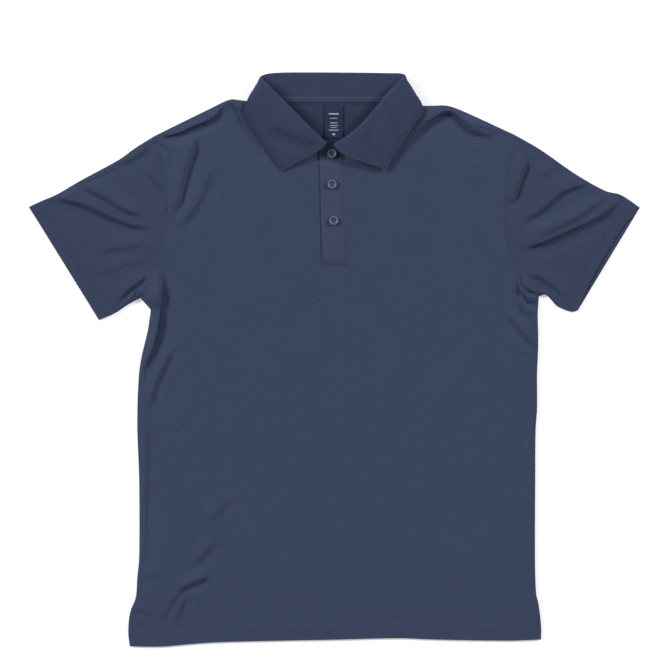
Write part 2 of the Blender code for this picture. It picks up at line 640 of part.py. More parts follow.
def collar_sections():
    """The collar's sections from its left front end, round the back, to its right front end."""
    table = list(reversed(COLLAR_LEFT)) + list(COLLAR_RIGHT)
    rows = []
    for section in table:
        rows.append((*section.seam, *section.roll, *section.leaf, section.turn, section.radius))
    rows = np.array(rows, float)
    sides = np.array([1.0] * len(COLLAR_LEFT) + [-1.0] * len(COLLAR_RIGHT))
    angle = np.radians(rows[:, 9])
    out = np.stack([sides * np.cos(angle), np.zeros(len(rows)), np.sin(angle)], 1)
    rows = np.hstack([rows[:, :9], rows[:, 10:], out])
    ends = np.vstack([2 * rows[0] - rows[1], rows, 2 * rows[-1] - rows[-2]])
    fine = [rows[:1]]
    for before, start, end, after in zip(ends, ends[1:], ends[2:], ends[3:]):
        chord = np.linalg.norm((end - start)[3:6])
        leave = (end - before) * chord / np.linalg.norm((end - before)[3:6])
        arrive = (after - start) * chord / np.linalg.norm((after - start)[3:6])
        t = (np.arange(1, COLLAR_STEPS + 1) / COLLAR_STEPS)[:, None]
        fine.append(
            (2 * t**3 - 3 * t**2 + 1) * start + (t**3 - 2 * t**2 + t) * leave
            + (3 * t**2 - 2 * t**3) * end + (t**3 - t**2) * arrive
        )
    return np.vstack(fine)


def bezier(points, t):
    """A cubic curve through its first and last points."""
    t = np.asarray(t)[:, None]
    a, b, c, d = points
    return (1 - t) ** 3 * a + 3 * (1 - t) ** 2 * t * b + 3 * (1 - t) * t**2 * c + t**3 * d


def collar():
    """The collar's points, quads and raised heights: sewn edge, stand, roll, fall and tipping."""
    rows = collar_sections()
    along_roll = np.gradient(rows[:, 3:6], axis=0)
    grid, raised = [], []
    for row, way in zip(rows, along_roll):
        seam, roll, leaf, radius, out = row[0:3], row[3:6], row[6:9], row[9], row[10:13]
        way = way / np.linalg.norm(way)
        out = out - way * (out @ way)
        out /= np.linalg.norm(out)
        up = np.cross(out, way)
        centre = roll - up * radius
        top_of_stand, top_of_leaf = centre - out * radius, centre + out * radius
        run = np.linalg.norm(top_of_stand - seam)
        stand = bezier(
            (seam, seam + (top_of_stand - seam) * 0.35, top_of_stand - up * run * 0.35, top_of_stand),
            np.linspace(0, 1, STAND_ROWS + 1),
        )
        turn = [
            centre - out * radius * math.cos(angle) + up * radius * math.sin(angle)
            for angle in np.pi * np.arange(1, ROLL_ROWS) / ROLL_ROWS
        ]
        fall = np.linalg.norm(leaf - top_of_leaf)
        plain = 1 - (TIPPING_FROM_EDGE[0] + 2) / fall
        near = [1 - distance / fall for distance in TIPPING_FROM_EDGE]
        shares = np.concatenate([np.linspace(0, plain, LEAF_ROWS), near, [1]])
        drop = bezier(
            (top_of_leaf, top_of_leaf - up * fall * 0.3, leaf - (leaf - top_of_leaf) * 0.3, leaf),
            shares,
        )
        grid.append(np.vstack([stand, turn, drop]))
        shown = fraction_of(0.2, 0.9, out[2])
        ridge = [TIPPING_HEIGHT * shown if d in TIPPING_RAISED else 0 for d in TIPPING_FROM_EDGE]
        raised.append([0] * (STAND_ROWS + ROLL_ROWS + LEAF_ROWS) + ridge + [0])
    grid = np.array(grid)
    grid[..., 2] = np.maximum(grid[..., 2], COLLAR_KNIT / 2)
    return grid.reshape(-1, 3), grid_quads(*grid.shape[:2]), np.array(raised, float).reshape(-1)


def panel_tree(*objects):
    """What a ray from above meets on these objects."""
    vertices, polygons = [], []
    for obj in objects:
        first = len(vertices)
        vertices += [vertex.co.copy() for vertex in obj.data.vertices]
        polygons += [[first + index for index in face.vertices] for face in obj.data.polygons]
    return BVHTree.FromPolygons(vertices, polygons)


def top_at(tree, x, y, below=100.0):
    """Height of the highest surface at a place, in millimetres, under a given height."""
    hit, _, _, _ = tree.ray_cast(Vector((x * MM, y * MM, below * MM)), Vector((0, 0, -1)))
    if hit is None:
        raise ValueError(f"nothing lies under ({x}, {y})")
    return hit.z / MM


def strip_on(tree, name, corners, across, up, thickness, colour):
    """A strip that lies just above a panel. corners run anticlockwise from the lower left."""
    low_left, low_right, high_right, high_left = map(np.array, corners)
    points = []
    for v in up:
        for u in across:
            place = (
                (1 - u) * (1 - v) * low_left + u * (1 - v) * low_right
                + u * v * high_right + (1 - u) * v * high_left
            )
            height = top_at(tree, *place, UNDER_COLLAR)
            points.append((*place, height + GAP + thickness / 2))
    return sheet_wall(name, points, grid_quads(len(up), len(across)), thickness, colour)


def turned(profile, sides):
    """Points and faces of a profile turned about Z. It starts and ends on the axis."""
    angles = 2 * np.pi * np.arange(sides) / sides
    rings = [
        np.column_stack([r * np.cos(angles), r * np.sin(angles), np.full(sides, z)])
        for r, z in profile[1:-1]
    ]
    points = np.vstack([[(0, 0, profile[0][1])], *rings, [(0, 0, profile[-1][1])]])
    faces = [[0, 1 + (k + 1) % sides, 1 + k] for k in range(sides)]
    for ring in range(len(rings) - 1):
        low, high = 1 + ring * sides, 1 + (ring + 1) * sides
        faces += [
            [low + k, low + (k + 1) % sides, high + (k + 1) % sides, high + k] for k in range(sides)
        ]
    last = 1 + (len(rings) - 1) * sides
    faces += [[last + k, last + (k + 1) % sides, len(points) - 1] for k in range(sides)]
    return points, faces


def button(name, place, base, colour):
    """A four-hole button: a rim round a shallow dish, on a flat back."""
    points, faces = turned(BUTTON_PROFILE, BUTTON_SIDES)
    points = points * (BUTTON_ACROSS / 2, BUTTON_ACROSS / 2, BUTTON_THICK) + (*place, base)
    obj = make_object(name, points, faces, colour, BUTTON_ROUGHNESS)
    for turn in range(4):
        angle = math.pi / 4 + turn * math.pi / 2
        bpy.ops.mesh.primitive_cylinder_add(
            vertices=HOLE_SIDES, radius=BUTTON_HOLE / 2 * MM, depth=2 * BUTTON_THICK * MM,
            location=(
                (place[0] + BUTTON_HOLE_RADIUS * math.cos(angle)) * MM,
                (place[1] + BUTTON_HOLE_RADIUS * math.sin(angle)) * MM,
                (base + BUTTON_THICK / 2) * MM,
            ),
        )
        cutter = bpy.context.object
        cutter.name = f"{name}_hole_{turn}"
        cutter.hide_render = True
        cutter.display_type = "WIRE"
        cut = obj.modifiers.new(f"hole_{turn}", "BOOLEAN")
        cut.operation = "DIFFERENCE"
        cut.object = cutter
    return obj


def box_corners(x_range, y_range):
    """The corners of an upright rectangle, anticlockwise from the lower left."""
    (left, right), (low, high) = x_range, y_range
    return (left, low), (right, low), (right, high), (left, high)


def body():
    """The two body panels. Returns the back and the front."""
    back = sheet_wall("back", *back_panel(), JERSEY, NAVY_DARK)
    grid = front_panel()
    places = grid.reshape(-1, 2)
    points = np.column_stack([places, upper_height(places)])
    front = sheet_wall("front", points, grid_quads(*grid.shape[:2]), JERSEY, NAVY)
    return back, front


def sleeves():
    """Both sleeves."""
    right = sleeve(SLEEVE_TOP_RIGHT, CUFF_RIGHT, CUFF_RIGHT, UNDERSIDE_RIGHT, ARMHOLE_RIGHT, -SEAM)
    sheet_wall("sleeve_right", *right, JERSEY, NAVY)
    left = sleeve(SLEEVE_TOP_LEFT, CUFF_LEFT, CUFF_LEFT_UPPER, UNDERSIDE_LEFT, ARMHOLE_LEFT, SEAM)
    sheet_wall("sleeve_left", *left, JERSEY, NAVY)


def neck(back):
    """The collar, and the tape and the label that lie inside the neck."""
    points, quads, raised = collar()
    ring = sheet_wall("collar", points, quads, COLLAR_KNIT, NAVY, raised)
    tree = panel_tree(back, ring)
    strip_on(
        tree, "neck_tape", box_corners(TAPE_X, TAPE_Y), np.linspace(0, 1, 13), TAPE_ROWS, TAPE, NAVY
    )
    strip_on(
        tree, "label", box_corners(LABEL_X, LABEL_Y), (0, 0.5, 1), np.linspace(0, 1, 11), TAPE,
        NAVY_DARK,
    )


def fastening(front):
    """The placket down the front, and its buttons."""
    corners = (
        (PLACKET_EDGE[1], PLACKET_FOOT), (PLACKET_SEAM[1], PLACKET_FOOT),
        (PLACKET_SEAM[0], PLACKET_TOP), (PLACKET_EDGE[0], PLACKET_TOP),
    )
    placket = strip_on(
        panel_tree(front), "placket", corners, (0, 0.5, 1), np.linspace(0, 1, 13), PLACKET_CLOTH, NAVY
    )
    tree = panel_tree(placket)
    for number, place in enumerate(BUTTON_PLACES, 1):
        button(f"button_{number}", place, top_at(tree, *place) + GAP, BUTTON_NAVY)


def main():
    """Build the whole shirt."""
    for obj in list(bpy.data.objects):
        bpy.data.objects.remove(obj)
    back, front = body()
    sleeves()
    neck(back)
    fastening(front)


main()
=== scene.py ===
"""The looks of a short-sleeved polo shirt in navy jersey, laid flat with its front up.

Right and left are the wearer's: the right sleeve is at -X and the collar at +Y. Tables are in
millimetres and repeat the shirt's pattern, so each finer piece lies where its solid does.
"""

import logging
import math
from dataclasses import dataclass, field
from enum import Enum
from typing import NamedTuple, Optional, Sequence

import bpy
import numpy as np
from bpy.types import Material, Node, NodeSocket, NodeTree, Object
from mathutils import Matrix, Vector
from mathutils.bvhtree import BVHTree


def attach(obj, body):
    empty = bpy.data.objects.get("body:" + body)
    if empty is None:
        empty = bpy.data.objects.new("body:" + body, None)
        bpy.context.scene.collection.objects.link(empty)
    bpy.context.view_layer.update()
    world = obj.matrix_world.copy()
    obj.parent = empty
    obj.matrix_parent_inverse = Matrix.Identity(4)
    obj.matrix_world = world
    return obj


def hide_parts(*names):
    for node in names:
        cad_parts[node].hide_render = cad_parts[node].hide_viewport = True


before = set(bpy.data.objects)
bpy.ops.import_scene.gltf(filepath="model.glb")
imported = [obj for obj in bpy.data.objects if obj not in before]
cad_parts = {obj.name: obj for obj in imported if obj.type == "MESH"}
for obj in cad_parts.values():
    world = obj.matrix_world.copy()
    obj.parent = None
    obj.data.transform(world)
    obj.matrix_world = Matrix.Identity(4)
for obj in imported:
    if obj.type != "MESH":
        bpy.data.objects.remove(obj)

LOG = logging.getLogger("polo_shirt")
MM = 0.001
WHITE = (1.0, 1.0, 1.0, 1.0)
Array = np.ndarray


# ---------------------------------------------------------------- pattern


class Edge(NamedTuple):
    """A point of an outline, and the height of the upper layer's middle there."""

    x: float
    y: float
    rim: float = 0.0


class Crease(NamedTuple):
    """A trough beside a path, with a ridge on its left whose steep flank follows the path.

    low_ridge is on the trough's right. lean is how far the ridge is pushed over the trough, and
    run how much wider the trough is on its right.
    """

    depth: float
    half: float
    ridge: float
    low_ridge: float
    lean: float
    run: float
    path: tuple[tuple[float, float], ...]


class Section(NamedTuple):
    """A cut across the collar, each point as (x, y, z).

    turn is the way from stand to fall, in degrees from level.
    """

    seam: tuple[float, float, float]
    roll: tuple[float, float, float]
    leaf: tuple[float, float, float]
    turn: float
    radius: float


class Side(Enum):
    """The wearer's right, at -X, or left, at +X."""

    RIGHT = -1
    LEFT = 1


class Face(Enum):
    """Which way a seam's stitches look."""

    UP = 1
    DOWN = -1


GAP = 0.3  # between two pieces that lie on one another
SEAM = 0.1  # from an armhole's line to the panel on one side, and to the sleeve on the other
JERSEY = 1.2  # thicknesses, with the nap
COLLAR_KNIT = 1.4
BACK_MID = JERSEY / 2
SEWN = 2.1  # the upper layer's middle where it is sewn flat to the lower one
PLATEAU = 4.7  # the same away from the edges
SEAM_RISE = 14.0  # how far from a fold or an underarm seam it reaches that height
SIDE_RISE = 30.0  # the same from a side seam
HEM_RISE = 100.0  # the same from a hem or cuff
NECK_RAISE = 1.9  # the back climbs this far over the collar's back leaf
RAISE_BOX = (-118.0, 121.0, 330.0)  # x from, x to, y from
RAISE_RUN = 20.0  # how far outside that box the climb starts
NECKLINE_BACK_Y = 344.5
# widths of the columns over a shoulder from sleeve to neck, and along a sleeve from its armhole
SHOULDER_CELLS = (3, 5, 7, 8.5, 9.5, 10, 11, 12, 13, 14, 15, 16, 13, 12)
SLEEVE_CELLS = (3, 6, 9, 10, 10, 10, 10, 10, 10, 10, 10, 10, 10, 10, 10, 9, 8)
HEM_STITCHES = (13.6, 19.8)  # above a hem or cuff
SEAM_STITCH = 4.6  # beside a seam
ALLOWANCE = 0.9  # how far doubled cloth runs on past its stitches
FAR = 99.0  # a distance past every hem and seam
FROM_ABOVE = 60.0  # where a ray starts that looks for the cloth
LINE_STEP = 4.0  # between two points of a row of stitches
# a crease's own measures, in halves of its trough's width
FLANK = 0.5  # from the middle of the trough to the path
RIDGE_AT = 1.1  # from the middle of the trough to the top of a ridge
RIDGE_RUN = 2.4  # how much wider the left ridge is on the side away from the trough
TAPER = 0.25  # the share of the path over which each end fades out
PATH_STEPS = 6  # points read between two of a crease's own
WAVES = (  # how high, then the lengths along X and Y and the start of its two factors
    (0.22, (31, 83, 0.6), (-140, 57, 1.9)),
    (0.16, (17, -46, 2.3), (math.inf, 39, 0.4)),
    (0.10, (11.5, 29, 0.0), (-33, 21, 4.0)),
)


@dataclass(frozen=True)
class BodyCut:
    """One side of the body's outline, from the hem's corner up to the neck."""

    side: Side
    seam_side: tuple[Edge, ...]
    underarm: Edge
    armhole: tuple[Edge, ...]
    fold: tuple[Edge, ...]
    shoulder_seam: tuple[Edge, ...]


@dataclass(frozen=True)
class SleeveCut:
    """One sleeve's outline, with the cuff of each layer."""

    top: tuple[Edge, ...]
    cuff: tuple[Edge, ...]
    cuff_upper: tuple[Edge, ...]
    underside: tuple[Edge, ...]


def edges(*rows: tuple[float, ...]) -> tuple[Edge, ...]:
    """A stretch of outline, each row as (x, y) or (x, y, rim)."""
    return tuple(Edge(*row) for row in rows)


def sewn(*places: tuple[float, float]) -> tuple[Edge, ...]:
    """A stretch of outline where the upper layer is sewn flat to the lower one."""
    return tuple(Edge(x, y, SEWN) for x, y in places)


BODY_RIGHT = BodyCut(
    side=Side.RIGHT,
    seam_side=sewn(
        (-272, -381), (-274, -361), (-271.5, -336), (-264, -316), (-262, -290), (-259.5, -263),
        (-259.5, -160), (-262, -86), (-260, -22), (-256, 5), (-248, 39), (-244, 66),
    ),
    underarm=Edge(-258, 82, SEWN),
    armhole=edges(
        (-258, 82, SEWN), (-248, 99), (-239, 118), (-229, 155), (-222, 195), (-222, 228),
        (-229, 262), (-237, 292),
    ),
    fold=edges(
        (-239, 297.3, 3.8), (-203, 315, 4.4), (-164, 334, 5.2), (-139, 345.5, 6.6),
        (-125.5, 344.5, 6.8), (-113.5, 343, 6.8), (-92, 343, 6.8),
    ),
    shoulder_seam=edges(
        (-237, 292), (-203, 307), (-165, 324), (-139, 340), (-132, 337.5), (-119, 326),
        (-88.4, 321.2),
    ),
)
CUFF_RIGHT = edges((-406, 203, 3.2), (-313, 52.5, SEWN))
SLEEVE_RIGHT = SleeveCut(
    top=edges(
        (-239, 297.3, 3.8), (-266, 280.3, 3.8), (-285, 266.4, 3.8), (-338.5, 237.3, 3.8),
        (-368, 220, 3.6), (-389, 211, 3.4), (-406, 203, 3.2),
    ),
    cuff=CUFF_RIGHT,
    cuff_upper=CUFF_RIGHT,
    underside=sewn((-313, 52.5), (-292, 61.5), (-274.5, 73), (-258, 82)),
)
BODY_LEFT = BodyCut(
    side=Side.LEFT,
    seam_side=sewn(
        (274.5, -372), (274.5, -353), (271, -324), (268, -311), (266.5, -267), (266.8, -160),
        (267.3, -93), (269.2, -65), (269.2, -20), (270.8, 20), (270, 60),
    ),
    underarm=Edge(271.5, 84, SEWN),
    armhole=edges(
        (271.5, 84, SEWN), (256, 94.5), (244, 114), (233.5, 138.5), (226.5, 167), (225.3, 200),
        (228, 236), (233, 268), (238, 292),
    ),
    fold=edges(
        (240, 298.4, 3.8), (200, 316.9, 4.4), (160, 334.5, 5.4), (147, 337.6, 6.4),
        (132, 337.2, 6.8), (118, 337, 6.8), (90, 341, 6.8),
    ),
    shoulder_seam=edges(
        (238, 292), (219.5, 301.8), (199, 308.6), (183, 313.6), (166.5, 324.6), (153.5, 331.8),
        (140, 331), (120, 319.8), (83.1, 321.2),
    ),
)
SLEEVE_LEFT = SleeveCut(
    top=edges(
        (240, 298.4, 3.8), (273, 279.3, 3.8), (320, 246.6, 3.8), (360, 224.3, 3.6),
        (380, 219.2, 3.4), (406, 202, 3.2),
    ),
    cuff=edges((406, 202, 3.2), (323.5, 65.3, SEWN)),
    cuff_upper=edges(
        (406, 202, 3.2), (397, 191.5), (388, 183), (378, 169), (358.5, 136.5), (340.5, 105),
        (333.5, 89), (328.5, 76), (323.5, 65.3, SEWN),
    ),
    underside=sewn((323.5, 65.3), (315, 63.5), (297, 70.4), (289, 78.4), (281, 86), (271.5, 84)),
)
BODY_CUTS = (BODY_RIGHT, BODY_LEFT)
HEM = sewn(
    (-272, -381), (-245, -381.7), (-225, -381.2), (-168, -376.4), (-107, -374.4), (-6, -372.4),
    (87, -370.3), (126, -371.9), (231, -373.6), (274.5, -372),
)
NECKLINE_FRONT = edges(
    (-88.4, 321.2), (-78, 309), (-59, 294.6), (-39, 284.5), (-22, 280.6), (-2, 281.2), (16, 279.6),
    (37, 286.6), (58, 300), (72.5, 310.6), (83.1, 321.2),
)
COLLAR_RIGHT = (
    Section((-45, 344.9, 2.5), (-42, 381.0, 2.5), (-48, 338.5, 0.7), -90, 1.8),
    Section((-74, 344.9, 2.5), (-74, 380.6, 2.6), (-88, 340.5, 0.7), -88, 1.8),
    Section((-84, 345.4, 3.0), (-88, 379.0, 4.6), (-104, 344.8, 0.7), -75, 1.9),
    Section((-88, 346.0, 3.9), (-94.4, 376.6, 8.2), (-110.8, 347.5, 2.2), -40, 2.1),
    Section((-89.2, 345.8, 5.3), (-96.6, 374.4, 10.6), (-113, 347.9, 5.6), 0, 2.3),
    Section((-88.6, 343.2, 6.7), (-95.4, 371.5, 13.2), (-114.2, 345.5, 9.2), 55, 2.5),
    Section((-87.2, 334, 7.2), (-90, 365, 14.2), (-120.3, 330.5, 9.6), 85, 2.6),
    Section((-83, 319.5, 7.0), (-76.5, 351.5, 14.3), (-113, 315.3, 9.0), 90, 2.7),
    Section((-69, 303.6, 6.4), (-54, 329.2, 14.2), (-98, 292.9, 8.0), 90, 2.7),
    Section((-44, 288.2, 5.6), (-32, 307, 13.0), (-83, 271.1, 7.2), 90, 2.6),
    Section((-18, 281.6, 5.2), (-10.3, 286.8, 10.0), (-68.8, 250.3, 6.4), 90, 2.2),
)
COLLAR_LEFT = (
    Section((42, 344.9, 2.5), (40, 380.6, 2.5), (44, 337.5, 0.7), -90, 1.8),
    Section((72, 344.9, 2.5), (72, 380.0, 2.6), (86, 337.6, 0.7), -88, 1.8),
    Section((81, 345.0, 3.0), (84.5, 379.6, 4.6), (104, 339.0, 0.7), -75, 1.9),
    Section((84.8, 345.4, 3.9), (90, 378.4, 8.2), (111.3, 340.9, 2.2), -40, 2.1),
    Section((86, 344.8, 5.3), (92, 376.6, 10.6), (113.6, 341.4, 6.4), 0, 2.3),
    Section((85, 341.8, 6.7), (90.4, 373.8, 13.2), (115.2, 339.0, 9.8), 55, 2.5),
    Section((83.2, 332.5, 7.2), (85.5, 367.5, 14.2), (117.8, 330.0, 11.6), 85, 2.6),
    Section((78.6, 319.5, 7.0), (68, 349.7, 14.4), (109, 315.8, 11.6), 90, 2.7),
    Section((64, 305.8, 6.4), (54, 332, 14.4), (96, 295.8, 10.6), 90, 2.8),
    Section((40, 290, 5.6), (26, 302.5, 14.0), (81, 272.4, 9.6), 90, 2.7),
    Section((8, 281.5, 5.2), (-1.4, 284.9, 12.9), (67.2, 250.7, 9.2), 90, 2.2),
)

CREASES = (
    # right sleeve
    Crease(2.2, 7.5, 2.9, 0, 2.2, 2.2, ((-343, 233), (-304, 214), (-276, 197.5), (-245, 187.5))),
    Crease(2.4, 9, 3.4, 0, 3.5, 2.2, (
        (-381.5, 217.6), (-363.5, 212.6), (-339.5, 207), (-319.5, 200), (-299.5, 190.5),
        (-279.5, 182), (-259.5, 175.5), (-236.5, 170),
    )),
    Crease(0.9, 8, 1.1, 0, 0, 2, ((-320.5, 139), (-286, 145.5), (-245, 152))),
    Crease(0.5, 9, 0.7, 0, 0, 2, ((-320.5, 110), (-280, 123), (-243, 139))),
    Crease(2.2, 5.5, 1.6, 0.4, 2, 1.3, (
        (-283, 72), (-284, 79), (-279, 87), (-270, 95), (-260, 102.5), (-247, 113),
    )),
    Crease(1.8, 3.5, 1.0, 0.4, 0, 1, ((-258, 94), (-262, 86), (-265, 76))),
    Crease(1.6, 8, 1.1, 0, 0, 2, ((-286, 258), (-262, 268), (-243, 284))),
    Crease(1.0, 3, 0.2, 0, 0, 1, ((-341, 231.5), (-310, 243.5), (-282, 258.5))),
    Crease(1.1, 5, 0.9, 0.2, 0, 1.2, ((-254, 252), (-242, 239), (-230, 222))),
    Crease(0.8, 4, 0.5, 0.2, 0, 1.2, ((-239, 253), (-233, 244), (-225, 235))),
    # right of the chest
    Crease(2.4, 7.5, 3.0, 0.1, 2.5, 1.8, (
        (-215.6, 184.4), (-207.6, 208.4), (-201.6, 235.9), (-194.1, 260.4), (-185.6, 284.4),
        (-179.6, 303.4),
    )),
    Crease(1.3, 9, 1.6, 0.1, 0, 1.8, ((-209, 168), (-188, 193.5), (-173.5, 217.5), (-158, 262))),
    Crease(1.4, 4.5, 0.9, 0.2, 0, 1.4, ((-241, 292), (-228, 284), (-217, 278))),
    Crease(0.6, 5, 0.5, 0.2, 0, 1.4, ((-215, 290), (-210, 279), (-212, 266))),
    Crease(2.8, 7.5, 2.8, 0, 4, 2, (
        (-239, 293.5), (-221, 298), (-205, 302.5), (-185, 311), (-168, 317.5), (-158.5, 325),
        (-149, 334), (-141, 340),
    )),
    Crease(2.0, 4.5, 0.6, 0.2, 1, 1.4, ((-142, 340), (-132, 334), (-125, 323), (-118, 311))),
    Crease(1.8, 6, 0.3, 0.2, 0, 1.6, ((-127, 323), (-116, 304), (-103, 285), (-86, 262))),
    # right side of the body
    Crease(3.6, 9, 6.0, 0, 5, 2, (
        (-255, -40), (-253, -12), (-248.5, 2), (-243.5, 17), (-239.5, 31), (-236.5, 45), (-235, 57),
        (-234.5, 72), (-233, 88), (-231.5, 104), (-228.5, 126),
    )),
    Crease(1.6, 6, 1.8, 0.1, 0, 1.7, (
        (-243.5, -76), (-241, -51), (-237, -37), (-228, -15.5), (-217, 6), (-207, 17),
    )),
    Crease(1.7, 9, 1.5, 0, 0, 2.2, ((-250, -292), (-249, -187), (-248, -100), (-251, -48))),
    Crease(0.5, 9, 0.6, 0.1, 0, 1.8, ((-216, -102), (-196, -82), (-175, -55))),
    Crease(0.4, 8, 0.5, 0.1, 0, 1.8, ((-128, -100), (-118, -80), (-108, -60))),
    Crease(0.6, 7, 0.8, 0.1, 0, 1.8, ((-174, -218), (-154, -203), (-130, -178))),
    Crease(0.5, 9, 0.7, 0.1, 0, 1.8, ((-160, -244), (-155, -222), (-153, -200))),
    Crease(1.4, 7.5, 1.5, 0.1, 0, 2, ((-190, -280), (-177, -265), (-166, -252), (-157, -237))),
    Crease(2.2, 6.5, 2.4, 0, 0, 1.7, (
        (-208, -311), (-201, -305), (-193, -301), (-181.5, -296), (-164, -287.5),
    )),
    Crease(1.4, 5, 1.2, 0.1, 0, 1.5, ((-226, -349), (-216, -324.5), (-199, -303))),
    Crease(1.4, 6, 1.2, 0.1, 0, 1.8, ((-209, -351), (-204, -334), (-194, -308))),
    Crease(0.9, 5, 0.7, 0.1, 0, 1.5, ((-262, -331), (-252, -336), (-242, -341))),
    Crease(0.5, 8, 0.6, 0.1, 0, 1.8, ((-258, -298), (-246, -290), (-231, -284))),
    # middle of the body
    Crease(3.2, 12, 0, 0, 0, 1, ((-40, 287), (-20, 278), (-3, 275), (17, 279), (40, 288))),
    Crease(0.4, 3, 0.3, 0.2, 0, 1, ((32.6, 155), (32.6, 106))),
    Crease(0.5, 14, 0.3, 0.3, 0, 1, ((179, -205), (184, -300), (186, -355))),
    # left side of the body
    Crease(1.6, 6, 1.5, 0.4, 0, 1.6, ((226, 66), (236, 50), (248, 35), (262, 20), (268, 8))),
    Crease(2.4, 6, 1.8, 0.3, 0, 1.4, ((243, 100), (246, 86), (250, 69), (257, 52))),
    Crease(3.2, 5.5, 2.4, 0.4, 2.5, 1.4, (
        (245, 106), (249, 94), (256, 84), (264, 77.5), (273, 75),
    )),
    Crease(2.4, 3.6, 1.4, 0.4, 0.5, 1.1, ((248, 110), (253, 99), (260, 91), (270, 86.5))),
    Crease(2.0, 4.5, 1.2, 0.4, 0, 1.1, ((254, 80), (261, 72.5), (272, 68.5))),
    Crease(0.6, 9, 0.6, 0.2, 0, 1.4, ((258.7, -14), (258.7, -80), (254.7, -114), (248, -146))),
    Crease(3.0, 8.5, 2.8, 0, 4, 2, (
        (88, 280.2), (102, 294.2), (118, 311.2), (132.5, 322.2), (148, 328.2), (162, 325.2),
        (174, 314.2), (186, 303.7), (200, 297.7), (222, 294.2),
    )),
    # left sleeve
    Crease(2.4, 7, 2.4, 0.1, 2.5, 1.8, (
        (234, 200), (239, 218), (244, 232), (249, 246), (258, 272),
    )),
    Crease(0.5, 7, 0.7, 0.1, 0, 1.8, ((275, 239), (296, 257))),
    Crease(1.9, 8, 2.0, 0, 2.5, 2.2, (
        (244, 177), (272, 196.5), (286, 208), (298, 219), (312, 226), (328, 230.5), (346, 233),
    )),
    Crease(2.0, 5.5, 1.4, 0, 1.5, 1.7, (
        (258, 160), (282, 171), (302, 180.5), (322, 190), (338, 200), (352, 209.5), (367, 222),
    )),
    Crease(3.2, 10, 5.4, 0, 5.5, 2, (
        (245.4, 142.4), (261.4, 149.9), (279.4, 157.9), (308.4, 171.4), (332.4, 181.9),
        (352.9, 192.9), (366.4, 200.9), (387.4, 210.9),
    )),
    Crease(1.0, 4.5, 0.9, 0.1, 0, 1.5, ((369, 191), (383, 194), (398, 200))),
    Crease(2.0, 7, 1.5, 0.2, 0, 1.5, ((258, 114), (276, 105), (288, 97), (298, 88), (305, 80))),
    Crease(1.0, 4.5, 0.7, 0.2, 0, 1.4, ((266, 102), (280, 94), (290, 85), (299, 75))),
)
COLLAR_CREASES = (
    Crease(1.5, 12, 0.9, 0.1, 0, 1.4, ((-92, 311), (-68, 299), (-45, 291), (-16, 282))),
    Crease(0.9, 12, 0.5, 0.2, 0, 1, ((60, 333), (61, 306), (48, 278))),
)


# ---------------------------------------------------------------- curves and grids


def fraction_of(low: float, high: float, value: Array) -> Array:
    """How far a value has gone from low to high, held between 0 and 1."""
    return np.clip((value - low) / (high - low), 0.0, 1.0)


def eased(value: Array) -> Array:
    """A smooth step of a fraction."""
    return value * value * (3.0 - 2.0 * value)


def bump(value: Array) -> Array:
    """A rounded hump that is 1 in the middle and ends at -1 and 1."""
    return np.clip(1 - value * value, 0, None) ** 2


def unit(vectors: Array) -> Array:
    """Vectors brought to length 1."""
    return vectors / np.linalg.norm(vectors, axis=-1, keepdims=True)


def smooth_curve(points: Sequence, steps: int = 10, plan: slice = slice(0, 2)) -> Array:
    """Points read from a smooth curve through the given ones.

    Args:
        points: Rows of numbers, two or more.
        steps: How many points are read between two given ones.
        plan: The columns that say how far apart two points are.

    Returns:
        One row for each point read.
    """
    points = np.asarray(points, float)
    if len(points) == 2:
        return points
    ends = np.vstack([2 * points[0] - points[1], points, 2 * points[-1] - points[-2]])
    t = (np.arange(1, steps + 1) / steps)[:, None]
    found = [points[:1]]
    for before, start, end, after in zip(ends, ends[1:], ends[2:], ends[3:]):
        chord = np.linalg.norm((end - start)[plan])
        leaving = (end - before) * chord / np.linalg.norm((end - before)[plan])
        arriving = (after - start) * chord / np.linalg.norm((after - start)[plan])
        found.append(
            (2 * t**3 - 3 * t**2 + 1) * start + (t**3 - 2 * t**2 + t) * leaving
            + (3 * t**2 - 2 * t**3) * end + (t**3 - t**2) * arriving
        )
    return np.vstack(found)


def bezier(points: Sequence[Array], t: Array) -> Array:
    """Points of a cubic curve from its first to its last control point, at these shares."""
    t = t[:, None]
    a, b, c, d = points
    return (1 - t) ** 3 * a + 3 * (1 - t) ** 2 * t * b + 3 * (1 - t) * t**2 * c + t**3 * d


def plan_of(stretch: Sequence[Edge]) -> Array:
    """The x and y of a smooth curve through an outline table."""
    return smooth_curve(stretch)[:, :2]


def gone_along(curve: Array) -> Array:
    """How far each point of a curve is from its start, on the plan."""
    steps = np.linalg.norm(np.diff(curve[:, :2], axis=0), axis=1)
    return np.concatenate([[0], np.cumsum(steps)])


def along(curve: Array, fractions: Array) -> Array:
    """Read a curve at fractions of its length.

    Args:
        curve: Rows of (x, y) or more.
        fractions: From 0 at its start to 1 at its end.

    Returns:
        One row for each fraction.
    """
    lengths = gone_along(curve)
    wanted = np.asarray(fractions) * lengths[-1]
    return np.stack([np.interp(wanted, lengths, column) for column in curve.T], 1)


def at_x(curve: Array, xs: Array) -> Array:
    """Rows of a curve that runs one way along X, at these x."""
    order = np.argsort(curve[:, 0])
    return np.stack([np.interp(xs, curve[order, 0], column[order]) for column in curve.T], 1)


